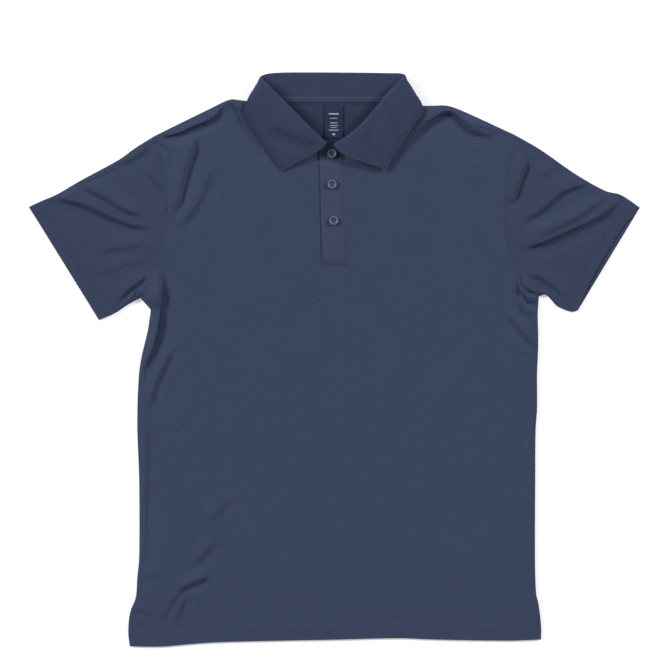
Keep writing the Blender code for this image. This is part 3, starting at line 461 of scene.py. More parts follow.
@dataclass
class Nearest:
    """Where places lie beside a curve."""

    distance: Array
    side: Array  # 1 on the left of the curve, -1 on its right
    share: Array  # of the curve's length
    value: Array  # the curve's third column
    way: Array  # the curve's direction

    @classmethod
    def on(cls, curve: Array, places: Array) -> "Nearest":
        """Measure places against a curve.

        Args:
            curve: Rows of (x, y) or (x, y, value).
            places: Rows of (x, y).

        Returns:
            One entry for each place.
        """
        start, run = curve[:-1], np.diff(curve, axis=0)
        lengths = np.linalg.norm(run[:, :2], axis=1)
        gone = np.concatenate([[0], np.cumsum(lengths)])
        count = len(places)
        columns = (np.zeros(count) for _ in range(3))
        found = cls(np.full(count, np.inf), *columns, np.zeros((count, 2)))
        for k in np.flatnonzero(lengths):
            way = run[k, :2] / lengths[k]
            off = places - start[k, :2]
            t = np.clip(off @ way, 0, lengths[k])
            distance = np.linalg.norm(off - t[:, None] * way, axis=1)
            nearer = distance < found.distance
            found.distance[nearer] = distance[nearer]
            found.side[nearer] = np.sign(way[0] * off[:, 1] - way[1] * off[:, 0])[nearer]
            found.share[nearer] = ((gone[k] + t) / gone[-1])[nearer]
            found.way[nearer] = way
            if curve.shape[1] > 2:
                found.value[nearer] = (start[k, 2] + run[k, 2] * t / lengths[k])[nearer]
        return found


def distance_to(curves: Sequence[Array], places: Array) -> Array:
    """Distance from each place to the nearest of several curves."""
    return np.min([Nearest.on(curve, places).distance for curve in curves], axis=0)


def grid_quads(rows: int, columns: int) -> Array:
    """Quads of a grid stored row by row, facing up when rows go +Y and columns go +X."""
    return joined_rows(np.arange(rows * columns).reshape(rows, columns))


def joined_rows(index: Array) -> Array:
    """Quads between neighbouring rows of point numbers."""
    corners = [index[:-1, :-1], index[:-1, 1:], index[1:, 1:], index[1:, :-1]]
    return np.stack(corners, -1).reshape(-1, 4)


def bridged(start: Array, end: Array, low: Array, high: Array, u: Array, v: Array) -> Array:
    """A grid of points between four edges.

    Args:
        start, end: The edges at u = 0 and u = 1, one point for each v.
        low, high: The edges at v = 0 and v = 1, one point for each u.
        u, v: Shares of the way across, from 0 to 1.

    Returns:
        Points by u, then by v.
    """
    u, v = u[:, None, None], v[None, :, None]
    straight = (
        (1 - u) * (1 - v) * start[0] + u * (1 - v) * end[0]
        + (1 - u) * v * start[-1] + u * v * end[-1]
    )
    return (1 - u) * start + u * end + (1 - v) * low[:, None] + v * high[:, None] - straight


def finer(widths: Sequence[float], parts: int) -> Array:
    """Split cells of uneven width.

    Args:
        widths: The cells' widths.
        parts: How many equal parts each cell is split into.

    Returns:
        Shares of the way across, from 0 to 1.
    """
    marks = np.concatenate([[0], np.cumsum(widths)]) / sum(widths)
    steps = np.arange(len(widths) * parts + 1) / parts
    return np.interp(steps, np.arange(len(marks)), marks)


# ---------------------------------------------------------------- how the cloth lies


@dataclass
class UpperLayer:
    """The front and the sleeves' upper layers, as one height field over the lower layer."""

    fold_run: float = 6.0  # extra way to its full height, for each mm of an edge above SEWN
    fold_height: float = 1.4  # an edge this far above SEWN is a fold, and the rise starts level
    calm: tuple[float, float] = (1.0, 7.0)  # how far inside the edges creases start, and are whole
    unevenness: float = 0.8  # how much of WAVES it has
    clear: float = 0.2  # it stays this far above SEWN
    clear_run: float = 10.0  # from this far inside the edges on

    def __post_init__(self) -> None:
        """Read the outline that the layer comes down to, and its creases."""
        flat = [HEM, SLEEVE_RIGHT.cuff, SLEEVE_LEFT.cuff_upper]
        sides, folded = [BODY_RIGHT.seam_side, BODY_LEFT.seam_side], []
        for body, sleeve in ((BODY_RIGHT, SLEEVE_RIGHT), (BODY_LEFT, SLEEVE_LEFT)):
            folded += [(body.seam_side[-1], body.underarm), sleeve.underside, sleeve.top, body.fold]
        runs = [HEM_RISE] * len(flat) + [SIDE_RISE] * len(sides) + [SEAM_RISE] * len(folded)
        stretches = [smooth_curve(stretch) for stretch in flat + sides + folded]
        self.outline = list(zip(stretches, runs))
        self.creases = with_paths(CREASES)

    def rise(self, places: Array) -> tuple[Array, Array]:
        """Work out the layer without its creases.

        Args:
            places: Rows of (x, y).

        Returns:
            The heights, and the distances to the outline.
        """
        lowest, raised = np.full(len(places), PLATEAU), np.zeros(len(places))
        nearest = np.full(len(places), np.inf)
        for curve, run in self.outline:
            near = Nearest.on(curve, places)
            rim = np.maximum(near.value, SEWN)
            flat = run == HEM_RISE
            reach = run if flat else run + self.fold_run * (rim - SEWN)
            q = np.clip(near.distance / reach, 0, 1)
            folded = 1.0 if flat else fraction_of(SEWN, SEWN + self.fold_height, rim)
            share = (1 - folded) * (1 - (1 - q) ** 3) + folded * eased(q)
            height = rim + (PLATEAU - rim) * share
            lowest = np.minimum(lowest, height)
            raised = np.maximum(raised, height - PLATEAU)
            nearest = np.minimum(nearest, near.distance)
        return lowest + raised, nearest

    def lie(self, places: Array) -> tuple[Array, Array]:
        """How the layer lies at these places.

        Args:
            places: Rows of (x, y).

        Returns:
            The places, moved where a crease leans, and their heights.
        """
        height, distance = self.rise(places)
        added, moved = creased(places, self.creases)
        inside = fraction_of(*self.calm, distance)
        height = height + inside * (added + self.unevenness * undulation(places))
        floor = SEWN + self.clear * fraction_of(0, self.clear_run, distance)
        return places + moved * inside[:, None], np.maximum(height, floor)

    def height(self, places: Array) -> Array:
        """Heights alone, for places that don't lean."""
        return self.lie(places)[1]


def with_paths(creases: Sequence[Crease]) -> list[tuple[Crease, Array]]:
    """Each crease with its smooth path."""
    return [(crease, smooth_curve(crease.path, PATH_STEPS)) for crease in creases]


def creased(places: Array, creases: Sequence[tuple[Crease, Array]]) -> tuple[Array, Array]:
    """What creases do at these places.

    Args:
        places: Rows of (x, y).
        creases: Each crease and its smooth path.

    Returns:
        The height that they add, and how far they push the cloth sideways.
    """
    height, moved = np.zeros(len(places)), np.zeros((len(places), 2))
    for crease, path in creases:
        near = Nearest.on(path, places)
        across = near.side * near.distance / crease.half + FLANK
        across = np.where(across < 0, across / crease.run, across)
        taper = eased(np.clip(np.minimum(near.share, 1 - near.share) / TAPER, 0, 1))
        off = across - RIDGE_AT
        ridge = crease.ridge * bump(np.where(off > 0, off / RIDGE_RUN, off))
        low_ridge = crease.low_ridge * bump(across + RIDGE_AT)
        height += taper * (ridge + low_ridge - crease.depth * bump(across))
        if crease.lean:
            to_right = np.stack([near.way[:, 1], -near.way[:, 0]], 1)
            moved += to_right * (crease.lean * taper * bump(off))[:, None]
    return height, moved


def undulation(places: Array) -> Array:
    """The slow rise and fall of cloth that was smoothed by hand.

    Args:
        places: Rows of (x, y).

    Returns:
        The height that it adds, up to about 0.5 mm either way.
    """
    x, y = places[:, 0], places[:, 1]
    total = np.zeros(len(places))
    for high, *factors in WAVES:
        first, second = (np.sin(x / along_x + y / along_y + at) for along_x, along_y, at in factors)
        total += high * first * second
    return total


def turned_over(
    start: Array, way: Array, radius: Array, low: Array, high: Array, count: int
) -> list[Array]:
    """Take a sheet round a fold.

    Args:
        start: Where the fold starts, as rows of (x, y).
        way: The directions that it bulges in.
        radius: How far it bulges.
        low, high: Heights of the sheet's middle below and above.
        count: How many rows lie between them.

    Returns:
        The rows, from below to above.
    """
    middle, half = (low + high) / 2, (high - low) / 2
    rows = []
    for angle in np.radians(np.linspace(-90, 90, count + 2)[1:-1]):
        out = start + way * (radius * math.cos(angle))[:, None]
        rows.append(np.column_stack([out, middle + half * math.sin(angle)]))
    return rows


def back_height(places: Array) -> Array:
    """The back panel's middle, which is flat but for the climb over the collar's back leaf.

    Args:
        places: Rows of (x, y) or more.

    Returns:
        The heights.
    """
    left, right, low = RAISE_BOX
    across = fraction_of(left - RAISE_RUN, left, places[:, 0])
    across = across * fraction_of(right + RAISE_RUN, right, places[:, 0])
    up = eased(fraction_of(low - RAISE_RUN, low, places[:, 1]))
    return BACK_MID + NECK_RAISE * eased(across) * up


# ---------------------------------------------------------------- meshes


SHARP = 50.0  # degrees between two faces, past which their edge stays sharp
LEVEL = (0.6, 0.9)  # a normal's z where a sheet starts to count as level, and does in full


def deselect_all() -> None:
    """Leave nothing selected, so that an operator meets only what it is meant for."""
    bpy.ops.object.select_all(action="DESELECT")


def mesh_object(name: str, points: Array, faces: Sequence) -> Object:
    """An object at the origin with its place in its mesh.

    Args:
        name: The piece's name.
        points: Rows of (x, y, z) in millimetres.
        faces: Point numbers of each face, as an array or a list.

    Returns:
        The object, smooth but for its sharp edges.
    """
    mesh = bpy.data.meshes.new(name)
    mesh.from_pydata((np.asarray(points) * MM).tolist(), [], [list(map(int, f)) for f in faces])
    mesh.update()
    mesh.shade_smooth()
    mesh.set_sharp_from_angle(angle=math.radians(SHARP))
    obj = bpy.data.objects.new(name, mesh)
    bpy.context.scene.collection.objects.link(obj)
    return obj


@dataclass
class Wall:
    """A sheet of cloth that is given its thickness.

    points are the sheet's middle and quads face its outer side. cloth is each point's place on
    the flat cloth. lines holds distances to hems and seams, which the finish draws from.
    """

    name: str
    points: Array
    quads: Array
    cloth: Array
    thickness: float = JERSEY
    lines: dict[str, Array] = field(default_factory=dict)
    lift: Optional[Array] = None

    def normals(self) -> Array:
        """Work out the ways out of the outer side, upright where the sheet lies nearly level.

        Returns:
            One direction for each point.
        """
        corners = self.points[self.quads]
        across = np.cross(corners[:, 2] - corners[:, 0], corners[:, 3] - corners[:, 1])
        found = np.zeros_like(self.points)
        for k in range(4):
            np.add.at(found, self.quads[:, k], across)
        found = unit(found)
        level = eased(fraction_of(*LEVEL, np.abs(found[:, 2])))
        found[:, :2] *= (1 - level)[:, None]
        return unit(found)

    def rim(self) -> list[tuple[int, int]]:
        """Find the sheet's free edges.

        Returns:
            Each one's two point numbers.
        """
        pairs = np.vstack([self.quads[:, (k, (k + 1) % 4)] for k in range(4)])
        ends = {(int(a), int(b)) for a, b in pairs}
        return [(a, b) for a, b in sorted(ends) if (b, a) not in ends]

    def build(self, outside: Material, inside: Optional[Material] = None) -> Object:
        """Make the closed wall.

        Args:
            outside: The outer side's material.
            inside: The inner side's, if it differs.

        Returns:
            The finished piece.
        """
        normals = self.normals()
        lift = np.zeros(len(self.points)) if self.lift is None else self.lift
        outer = self.points + normals * (self.thickness / 2 + lift)[:, None]
        inner = self.points - normals * self.thickness / 2
        for side in (outer, inner):
            side[:, 2] = np.maximum(side[:, 2], 0)
        count, cells = len(self.points), len(self.quads)
        edge = np.array([(b, a, a + count, b + count) for a, b in self.rim()])
        faces = np.vstack([self.quads, self.quads[:, ::-1] + count, edge])
        obj = mesh_object(self.name, np.vstack([outer, inner]), faces)
        mesh = obj.data
        flat = mesh.uv_layers.new(name="cloth")
        flat.data.foreach_set("uv", (self.cloth * MM)[faces.reshape(-1) % count].reshape(-1))
        for name, distance in self.lines.items():
            layer = mesh.attributes.new(name, "FLOAT", "POINT")
            layer.data.foreach_set("value", np.tile(distance, 2).astype(np.float32))
        mesh.materials.append(outside)
        if inside is not None:
            mesh.materials.append(inside)
            slots = np.zeros(len(faces), np.int32)
            slots[cells:2 * cells] = 1
            mesh.polygons.foreach_set("material_index", slots)
        return obj


class Surface:
    """What a ray from above or below meets on finished pieces."""

    def __init__(self, *objects: Object) -> None:
        """Gather the pieces' faces.

        Args:
            objects: The pieces.
        """
        vertices, faces = [], []
        for obj in objects:
            first = len(vertices)
            vertices += [vertex.co.copy() for vertex in obj.data.vertices]
            faces += [[first + k for k in face.vertices] for face in obj.data.polygons]
        self.tree = BVHTree.FromPolygons(vertices, faces)

    def height(self, x: float, y: float, face: Face = Face.UP, start: float = FROM_ABOVE) -> float:
        """Height of the surface at a place.

        Args:
            x, y: The place, in millimetres.
            face: Whether the surface is met from above or from below.
            start: How far off the ray starts.

        Returns:
            The height in millimetres.
        """
        origin = Vector((x * MM, y * MM, face.value * start * MM))
        hit = self.tree.ray_cast(origin, Vector((0, 0, -face.value)))[0]
        if hit is None:
            raise ValueError(f"nothing lies at ({x:.1f}, {y:.1f})")
        return hit.z / MM


def dress(obj: Object, slot: str, *nodes: str) -> Object:
    """Fix a piece to the shirt.

    Args:
        obj: The piece.
        slot: The record's material slot; not used.
        nodes: The solids that it stands for.

    Returns:
        The piece.
    """
    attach(obj, "root")
    if nodes:
        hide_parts(*nodes)
    LOG.info("%s: %d faces", obj.name, len(obj.data.polygons))
    return obj


# ---------------------------------------------------------------- finishes


def linear(colour: str) -> tuple[float, float, float, float]:
    """An sRGB hex colour, such as "#3A455B", as Blender's linear one."""
    parts = [int(colour[k:k + 2], 16) / 255 for k in (1, 3, 5)]
    return (*(c / 12.92 if c <= 0.04045 else ((c + 0.055) / 1.055) ** 2.4 for c in parts), 1.0)


def add_node(
    tree: NodeTree, kind: str, inputs: Optional[dict] = None, **settings: object
) -> Node:
    """Add a node with its settings and links.

    Args:
        tree: The material's nodes.
        kind: The node's type, without its "ShaderNode".
        inputs: What each input gets. A socket is linked and any other value is set.
        settings: The node's own properties.

    Returns:
        The node.
    """
    node = tree.nodes.new("ShaderNode" + kind)
    for name, value in settings.items():
        setattr(node, name, value)
    for name, value in (inputs or {}).items():
        if isinstance(value, NodeSocket):
            tree.links.new(value, node.inputs[name])
        else:
            node.inputs[name].default_value = value
    return node


class Finish:
    """A material, its nodes and its shader."""

    def __init__(self, name: str, **shader: object) -> None:
        """Start the material.

        Args:
            name: The material's name.
            shader: Values for the shader's own sockets, with _ for a space.
        """
        self.material = bpy.data.materials.new(name)
        self.material.use_nodes = True
        self.tree = self.material.node_tree
        self.shader = self.tree.nodes["Principled BSDF"]
        for socket, value in shader.items():
            self.shader.inputs[socket.replace("_", " ")].default_value = value

    def add(self, kind: str, inputs: dict, output: object = 0, **settings: object) -> NodeSocket:
        """Add a node as add_node does, and give this output of it."""
        return add_node(self.tree, kind, inputs, **settings).outputs[output]

    def colour_between(self, share: NodeSocket, dark: str, light: str) -> None:
        """Let the colour vary between two.

        Args:
            share: 0 where it is dark and 1 where it is light.
            dark, light: The two colours.
        """
        inputs = {0: share, 6: linear(dark), 7: linear(light)}  # 6, 7 and 2 are its colours
        colour = self.add("Mix", inputs, 2, data_type="RGBA")
        self.tree.links.new(colour, self.shader.inputs["Base Color"])

    def emboss(self, pattern: NodeSocket, height: float) -> None:
        """Show a pattern as relief, this many millimetres high where it is 1."""
        relief = self.add("Bump", {"Height": pattern, "Distance": height * MM}, "Normal")
        self.tree.links.new(relief, self.shader.inputs["Normal"])


class Relief(Finish):
    """A finish whose height is a sum of patterns, in millimetres, on the piece's flat cloth."""

    def __init__(self, name: str, **shader: object) -> None:
        """Start the material, and read its place on the flat cloth.

        Args:
            name: The material's name.
            shader: As for any finish.
        """
        super().__init__(name, **shader)
        self.heights: list[NodeSocket] = []
        cloth = self.add("UVMap", {}, "UV", uv_map="cloth")
        self.cloth = self.add("VectorMath", {0: cloth, "Scale": 1 / MM}, operation="SCALE")

    def eased_between(
        self, value: NodeSocket, low: float, high: float, first: float, last: float
    ) -> NodeSocket:
        """Step smoothly from one number to another.

        Args:
            value: What the step follows.
            low, high: Where it starts and ends.
            first, last: The number below low and above high.

        Returns:
            The number.
        """
        inputs = {
            "Value": value, "From Min": low, "From Max": high, "To Min": first, "To Max": last,
        }
        return self.add("MapRange", inputs, interpolation_type="SMOOTHSTEP")

    def off(self, value: NodeSocket, place: float) -> NodeSocket:
        """How far a value is from this one, whichever is larger."""
        apart = self.add("Math", {0: value, 1: place}, operation="SUBTRACT")
        return self.add("Math", {0: apart}, operation="ABSOLUTE")

    def blended(self, first: NodeSocket, second: NodeSocket, share: float) -> NodeSocket:
        """This share of the first pattern, and the rest of the second."""
        rest = self.add("Math", {0: second, 1: 1 - share}, operation="MULTIPLY")
        return self.add("Math", {0: first, 1: share, 2: rest}, operation="MULTIPLY_ADD")

    def mottle(
        self, size: float, stretch: tuple[float, float] = (1, 1), detail: float = 2
    ) -> NodeSocket:
        """Soft spots, from 0 to 1.

        Args:
            size: Their size in millimetres.
            stretch: How much longer they are along the cloth's X and Y.
            detail: How many finer layers they have.

        Returns:
            The pattern.
        """
        scale = (1 / stretch[0], 1 / stretch[1], 1)
        place = self.add("Mapping", {"Vector": self.cloth, "Scale": scale})
        return self.add("TexNoise", {"Vector": place, "Scale": 1 / size, "Detail": detail}, "Fac")

    def ribs(
        self, period: float, direction: str, wander: float = 0.0, turn: float = 0.0
    ) -> NodeSocket:
        """Rounded ribs, from 0 to 1.

        Args:
            period: From one rib to the next, in millimetres.
            direction: The axis that they follow one another along.
            wander: How unevenly they run.
            turn: How far they are turned on the cloth, in degrees.

        Returns:
            The pattern.
        """
        angle = (0, 0, math.radians(turn))
        place = self.add("Mapping", {"Vector": self.cloth, "Rotation": angle})
        inputs = {  # at scale 1, a wave repeats every pi / 10
            "Vector": place, "Scale": math.pi / (10 * period), "Distortion": wander,
            "Detail Scale": 1 / (3 * period),
        }
        return self.add("TexWave", inputs, "Fac", bands_direction=direction)

    def line(self, name: str) -> NodeSocket:
        """Distance to the piece's hem or seam, in millimetres."""
        return self.add("Attribute", {}, "Fac", attribute_name=name)

    def raise_by(self, pattern: NodeSocket, amount: object) -> None:
        """Add a pattern to the height, as this many millimetres."""
        self.heights.append(self.add("Math", {0: pattern, 1: amount}, operation="MULTIPLY"))

    def raise_band(self, distance: NodeSocket, width: float, height: float) -> None:
        """Raise the cloth that is doubled beside a hem or seam.

        Args:
            distance: How far the hem or seam is.
            width: How wide the doubled cloth is.
            height: How far it stands up.
        """
        soft = 0.7  # half the width of the step down
        self.heights.append(self.eased_between(distance, width - soft, width + soft, height, 0))

    def cut_groove(self, distance: NodeSocket, at: float, half: float, depth: float) -> None:
        """Sink a line into the cloth, as stitches or a change of yarn do.

        Args:
            distance: How far the edge is.
            at: The line's own distance from it.
            half: Half the groove's width.
            depth: Its depth.
        """
        self.heights.append(self.eased_between(self.off(distance, at), 0, half, -depth, 0))

    def finish(self) -> Material:
        """Join the heights into one relief.

        Returns:
            The material.
        """
        total = self.heights[0]
        for height in self.heights[1:]:
            total = self.add("Math", {0: total, 1: height}, operation="ADD")
        self.emboss(total, 1.0)
        return self.material


KNIT_FIBRE = {  # how the ends of a knit's fibres catch the light
    "Specular_IOR_Level": 0.2, "Sheen_Weight": 0.08, "Sheen_Roughness": 0.45,
    "Sheen_Tint": linear("#8C9AB8"),
}


@dataclass(frozen=True)
class JerseyKnit:
    """Single jersey of cotton and polyester, piece-dyed navy.

    The eye gets a matt, slightly speckled cloth with faint upright wales, and a soft sheen where
    it turns away. Its wrong side shows crosswise courses.
    """

    name: str = "jersey_knit"
    dark: str = "#2F3950"
    light: str = "#3D4862"
    wrong_side: bool = False
    grain: float = 1.7  # the yarn's speckle is about 0.5 mm, and is drawn coarser so that it shows
    wale: float = 2.6  # from 0.9 mm, for the same reason
    patches: float = 46.0  # the size of its paler and darker patches
    dents: float = 24.0  # and of the dents that handling leaves
    ripple: float = 6.0  # and of the pucker beside its seams
    doubled: float = HEM_STITCHES[-1] + ALLOWANCE  # how far the hem is turned up

    def material(self) -> Material:
        """Make the jersey, with its doubled hems and the pucker beside its seams.

        Returns:
            The material.
        """
        relief = Relief(self.name, Roughness=0.92, **KNIT_FIBRE)
        speckle = relief.mottle(self.grain, (0.8, 1.5), 3)
        share = relief.blended(relief.mottle(self.patches, (1, 1.4), 3), speckle, 0.1)
        relief.colour_between(relief.eased_between(share, 0.3, 0.85, 0, 1), self.dark, self.light)
        relief.raise_by(speckle, 0.12)
        if self.wrong_side:
            relief.raise_by(relief.ribs(self.wale * 0.8, "Y", wander=2.5), 0.10)
        else:
            relief.raise_by(relief.ribs(self.wale, "X", wander=2.0), 0.06)
        relief.raise_by(relief.mottle(self.dents, (1, 1.6), 2), 0.9)
        hem, seam, pucker = (relief.line(name) for name in ("hem", "seam", "pucker"))
        relief.raise_band(hem, self.doubled, 0.35)
        for at in HEM_STITCHES:
            relief.cut_groove(hem, at, half=0.9, depth=0.30)
        relief.raise_band(seam, SEAM_STITCH + ALLOWANCE, 0.25)
        relief.cut_groove(seam, SEAM_STITCH, half=0.8, depth=0.15)
        ripple = relief.mottle(self.ripple, (1, 1), 1)
        ripple = relief.add("Math", {0: ripple, 1: 0.5}, operation="SUBTRACT")
        relief.raise_by(ripple, relief.eased_between(pucker, 1, 13, 0.7, 0))
        relief.raise_by(ripple, relief.eased_between(hem, 12, 26, 0.45, 0))
        return relief.finish()


@dataclass(frozen=True)
class RibKnit:
    """Flat-knitted polyester rib, as collars come from the knitting machine.

    The eye gets fine ribs that run across the strip, and a denser, smoother cloth than jersey.
    """

    name: str = "collar_rib_knit"
    dark: str = "#2A334A"
    light: str = "#353E58"
    rib: float = 2.2  # from 1.4 mm, so that it shows
    grain: float = 1.5
    patches: float = 30.0  # the size of its paler and darker patches
    tipping_grooves: tuple[float, ...] = (3.1, 6.9)  # from its free edge, beside the raised lines

    def material(self) -> Material:
        """Make the rib, with the grooves of two tipping lines near its free edge.

        Returns:
            The material.
        """
        relief = Relief(self.name, Roughness=0.9, **KNIT_FIBRE)
        speckle = relief.mottle(self.grain, (1, 1.6), 3)
        share = relief.blended(relief.mottle(self.patches, (1, 1), 2), speckle, 0.3)
        relief.colour_between(relief.eased_between(share, 0.25, 0.75, 0, 1), self.dark, self.light)
        relief.raise_by(speckle, 0.08)
        relief.raise_by(relief.ribs(self.rib, "X", wander=0.6), 0.08)
        tipping = relief.line("tipping")
        for at in self.tipping_grooves:
            relief.cut_groove(tipping, at, half=1.1, depth=1.0)
        return relief.finish()


@dataclass(frozen=True)
class TwillTape:
    """Cotton twill tape, woven narrow with slanting ridges."""

    name: str = "cotton_twill_tape"
    dark: str = "#2C354D"
    light: str = "#364059"
    ridge: float = 1.4  # from 0.7 mm, so that it shows
    slant: float = 40.0  # degrees

    def material(self) -> Material:
        """Make the tape.

        Returns:
            The material.
        """
        relief = Relief(self.name, Roughness=0.85, Specular_IOR_Level=0.25)
        ridge = relief.ribs(self.ridge, "X", wander=0.3, turn=self.slant)
        relief.colour_between(ridge, self.dark, self.light)
        relief.raise_by(ridge, 0.12)
        return relief.finish()


@dataclass(frozen=True)
class WovenLabel:
    """Damask polyester label: a smooth satin ground with plain bars woven in, and no words."""

    name: str = "woven_label"
    ground: str = "#252E45"
    yarn: str = "#B4BAC6"
    yarn_share: float = 0.66  # how much of a bar's colour is its own yarn's
    width: float = 24.5
    pick: float = 0.9  # from one weft thread to the next, drawn coarser so that it shows
    bars: tuple[tuple[float, float, float], ...] = (  # height, half its width, half its thickness
        (32.2, 6.6, 1.0), (26.4, 5.2, 0.5), (20.4, 4.8, 0.6), (17.0, 5.2, 0.5), (14.3, 4.2, 0.4),
        (10.8, 6.4, 0.6), (5.3, 1.7, 1.3),
    )

    def material(self) -> Material:
        """Make the label, with its bars placed from its foot up.

        Returns:
            The material.
        """
        relief = Relief(self.name, Roughness=0.7, Specular_IOR_Level=0.12)
        x, y, _ = add_node(relief.tree, "SeparateXYZ", {0: relief.cloth}).outputs
        off_middle = relief.off(x, self.width / 2)
        shown: object = 0.0
        for height, half, thick in self.bars:
            row = relief.add("Math", {0: relief.off(y, height), 1: thick}, operation="LESS_THAN")
            column = relief.add("Math", {0: off_middle, 1: half}, operation="LESS_THAN")
            bar = relief.add("Math", {0: row, 1: column}, operation="MULTIPLY")
            shown = relief.add("Math", {0: bar, 1: shown}, operation="MAXIMUM")
        share = relief.add("Math", {0: shown, 1: self.yarn_share}, operation="MULTIPLY")
        relief.colour_between(share, self.ground, self.yarn)
        relief.raise_by(relief.ribs(self.pick, "Y", wander=0.2), 0.04)
        relief.raise_by(shown, 0.08)
        return relief.finish()


@dataclass(frozen=True)
class ButtonResin:
    """Cast polyester button resin, turned and tumbled to a soft gloss, dyed slate blue.

    A lighter copy of it on a button's rim is painted highlight, round the darker dish.
    """

    name: str = "polyester_button_resin"
    dark: str = "#384153"
    light: str = "#465063"
    roughness: float = 0.28
    clouds: float = 420.0  # of them to a metre, through its depth

    def material(self) -> Material:
        """Make the resin.

        Returns:
            The material.
        """
        resin = Finish(self.name, IOR=1.55, Roughness=self.roughness)
        place = resin.add("TexCoord", {}, "Object")
        cloud = resin.add("TexNoise", {"Vector": place, "Scale": self.clouds, "Detail": 3.0}, "Fac")
        resin.colour_between(cloud, self.dark, self.light)
        return resin.material


@dataclass(frozen=True)
class SewingThread:
    """Spun polyester sewing thread: two plies twisted, with a little shine."""

    name: str = "polyester_thread"
    dark: str = "#39435B"
    light: str = "#4C5874"
    twist: float = 0.5  # from one slanting ply to the next

    def material(self) -> Material:
        """Make the thread.

        Returns:
            The material.
        """
        thread = Finish(self.name, Roughness=0.6)
        place = thread.add("TexCoord", {}, "Object")
        inputs = {"Vector": place, "Scale": math.pi / (10 * self.twist * MM)}
        ply = thread.add("TexWave", inputs, "Fac", bands_direction="DIAGONAL")
        thread.colour_between(ply, self.dark, self.light)
        thread.emboss(ply, 0.05)
        return thread.material


# ---------------------------------------------------------------- pieces


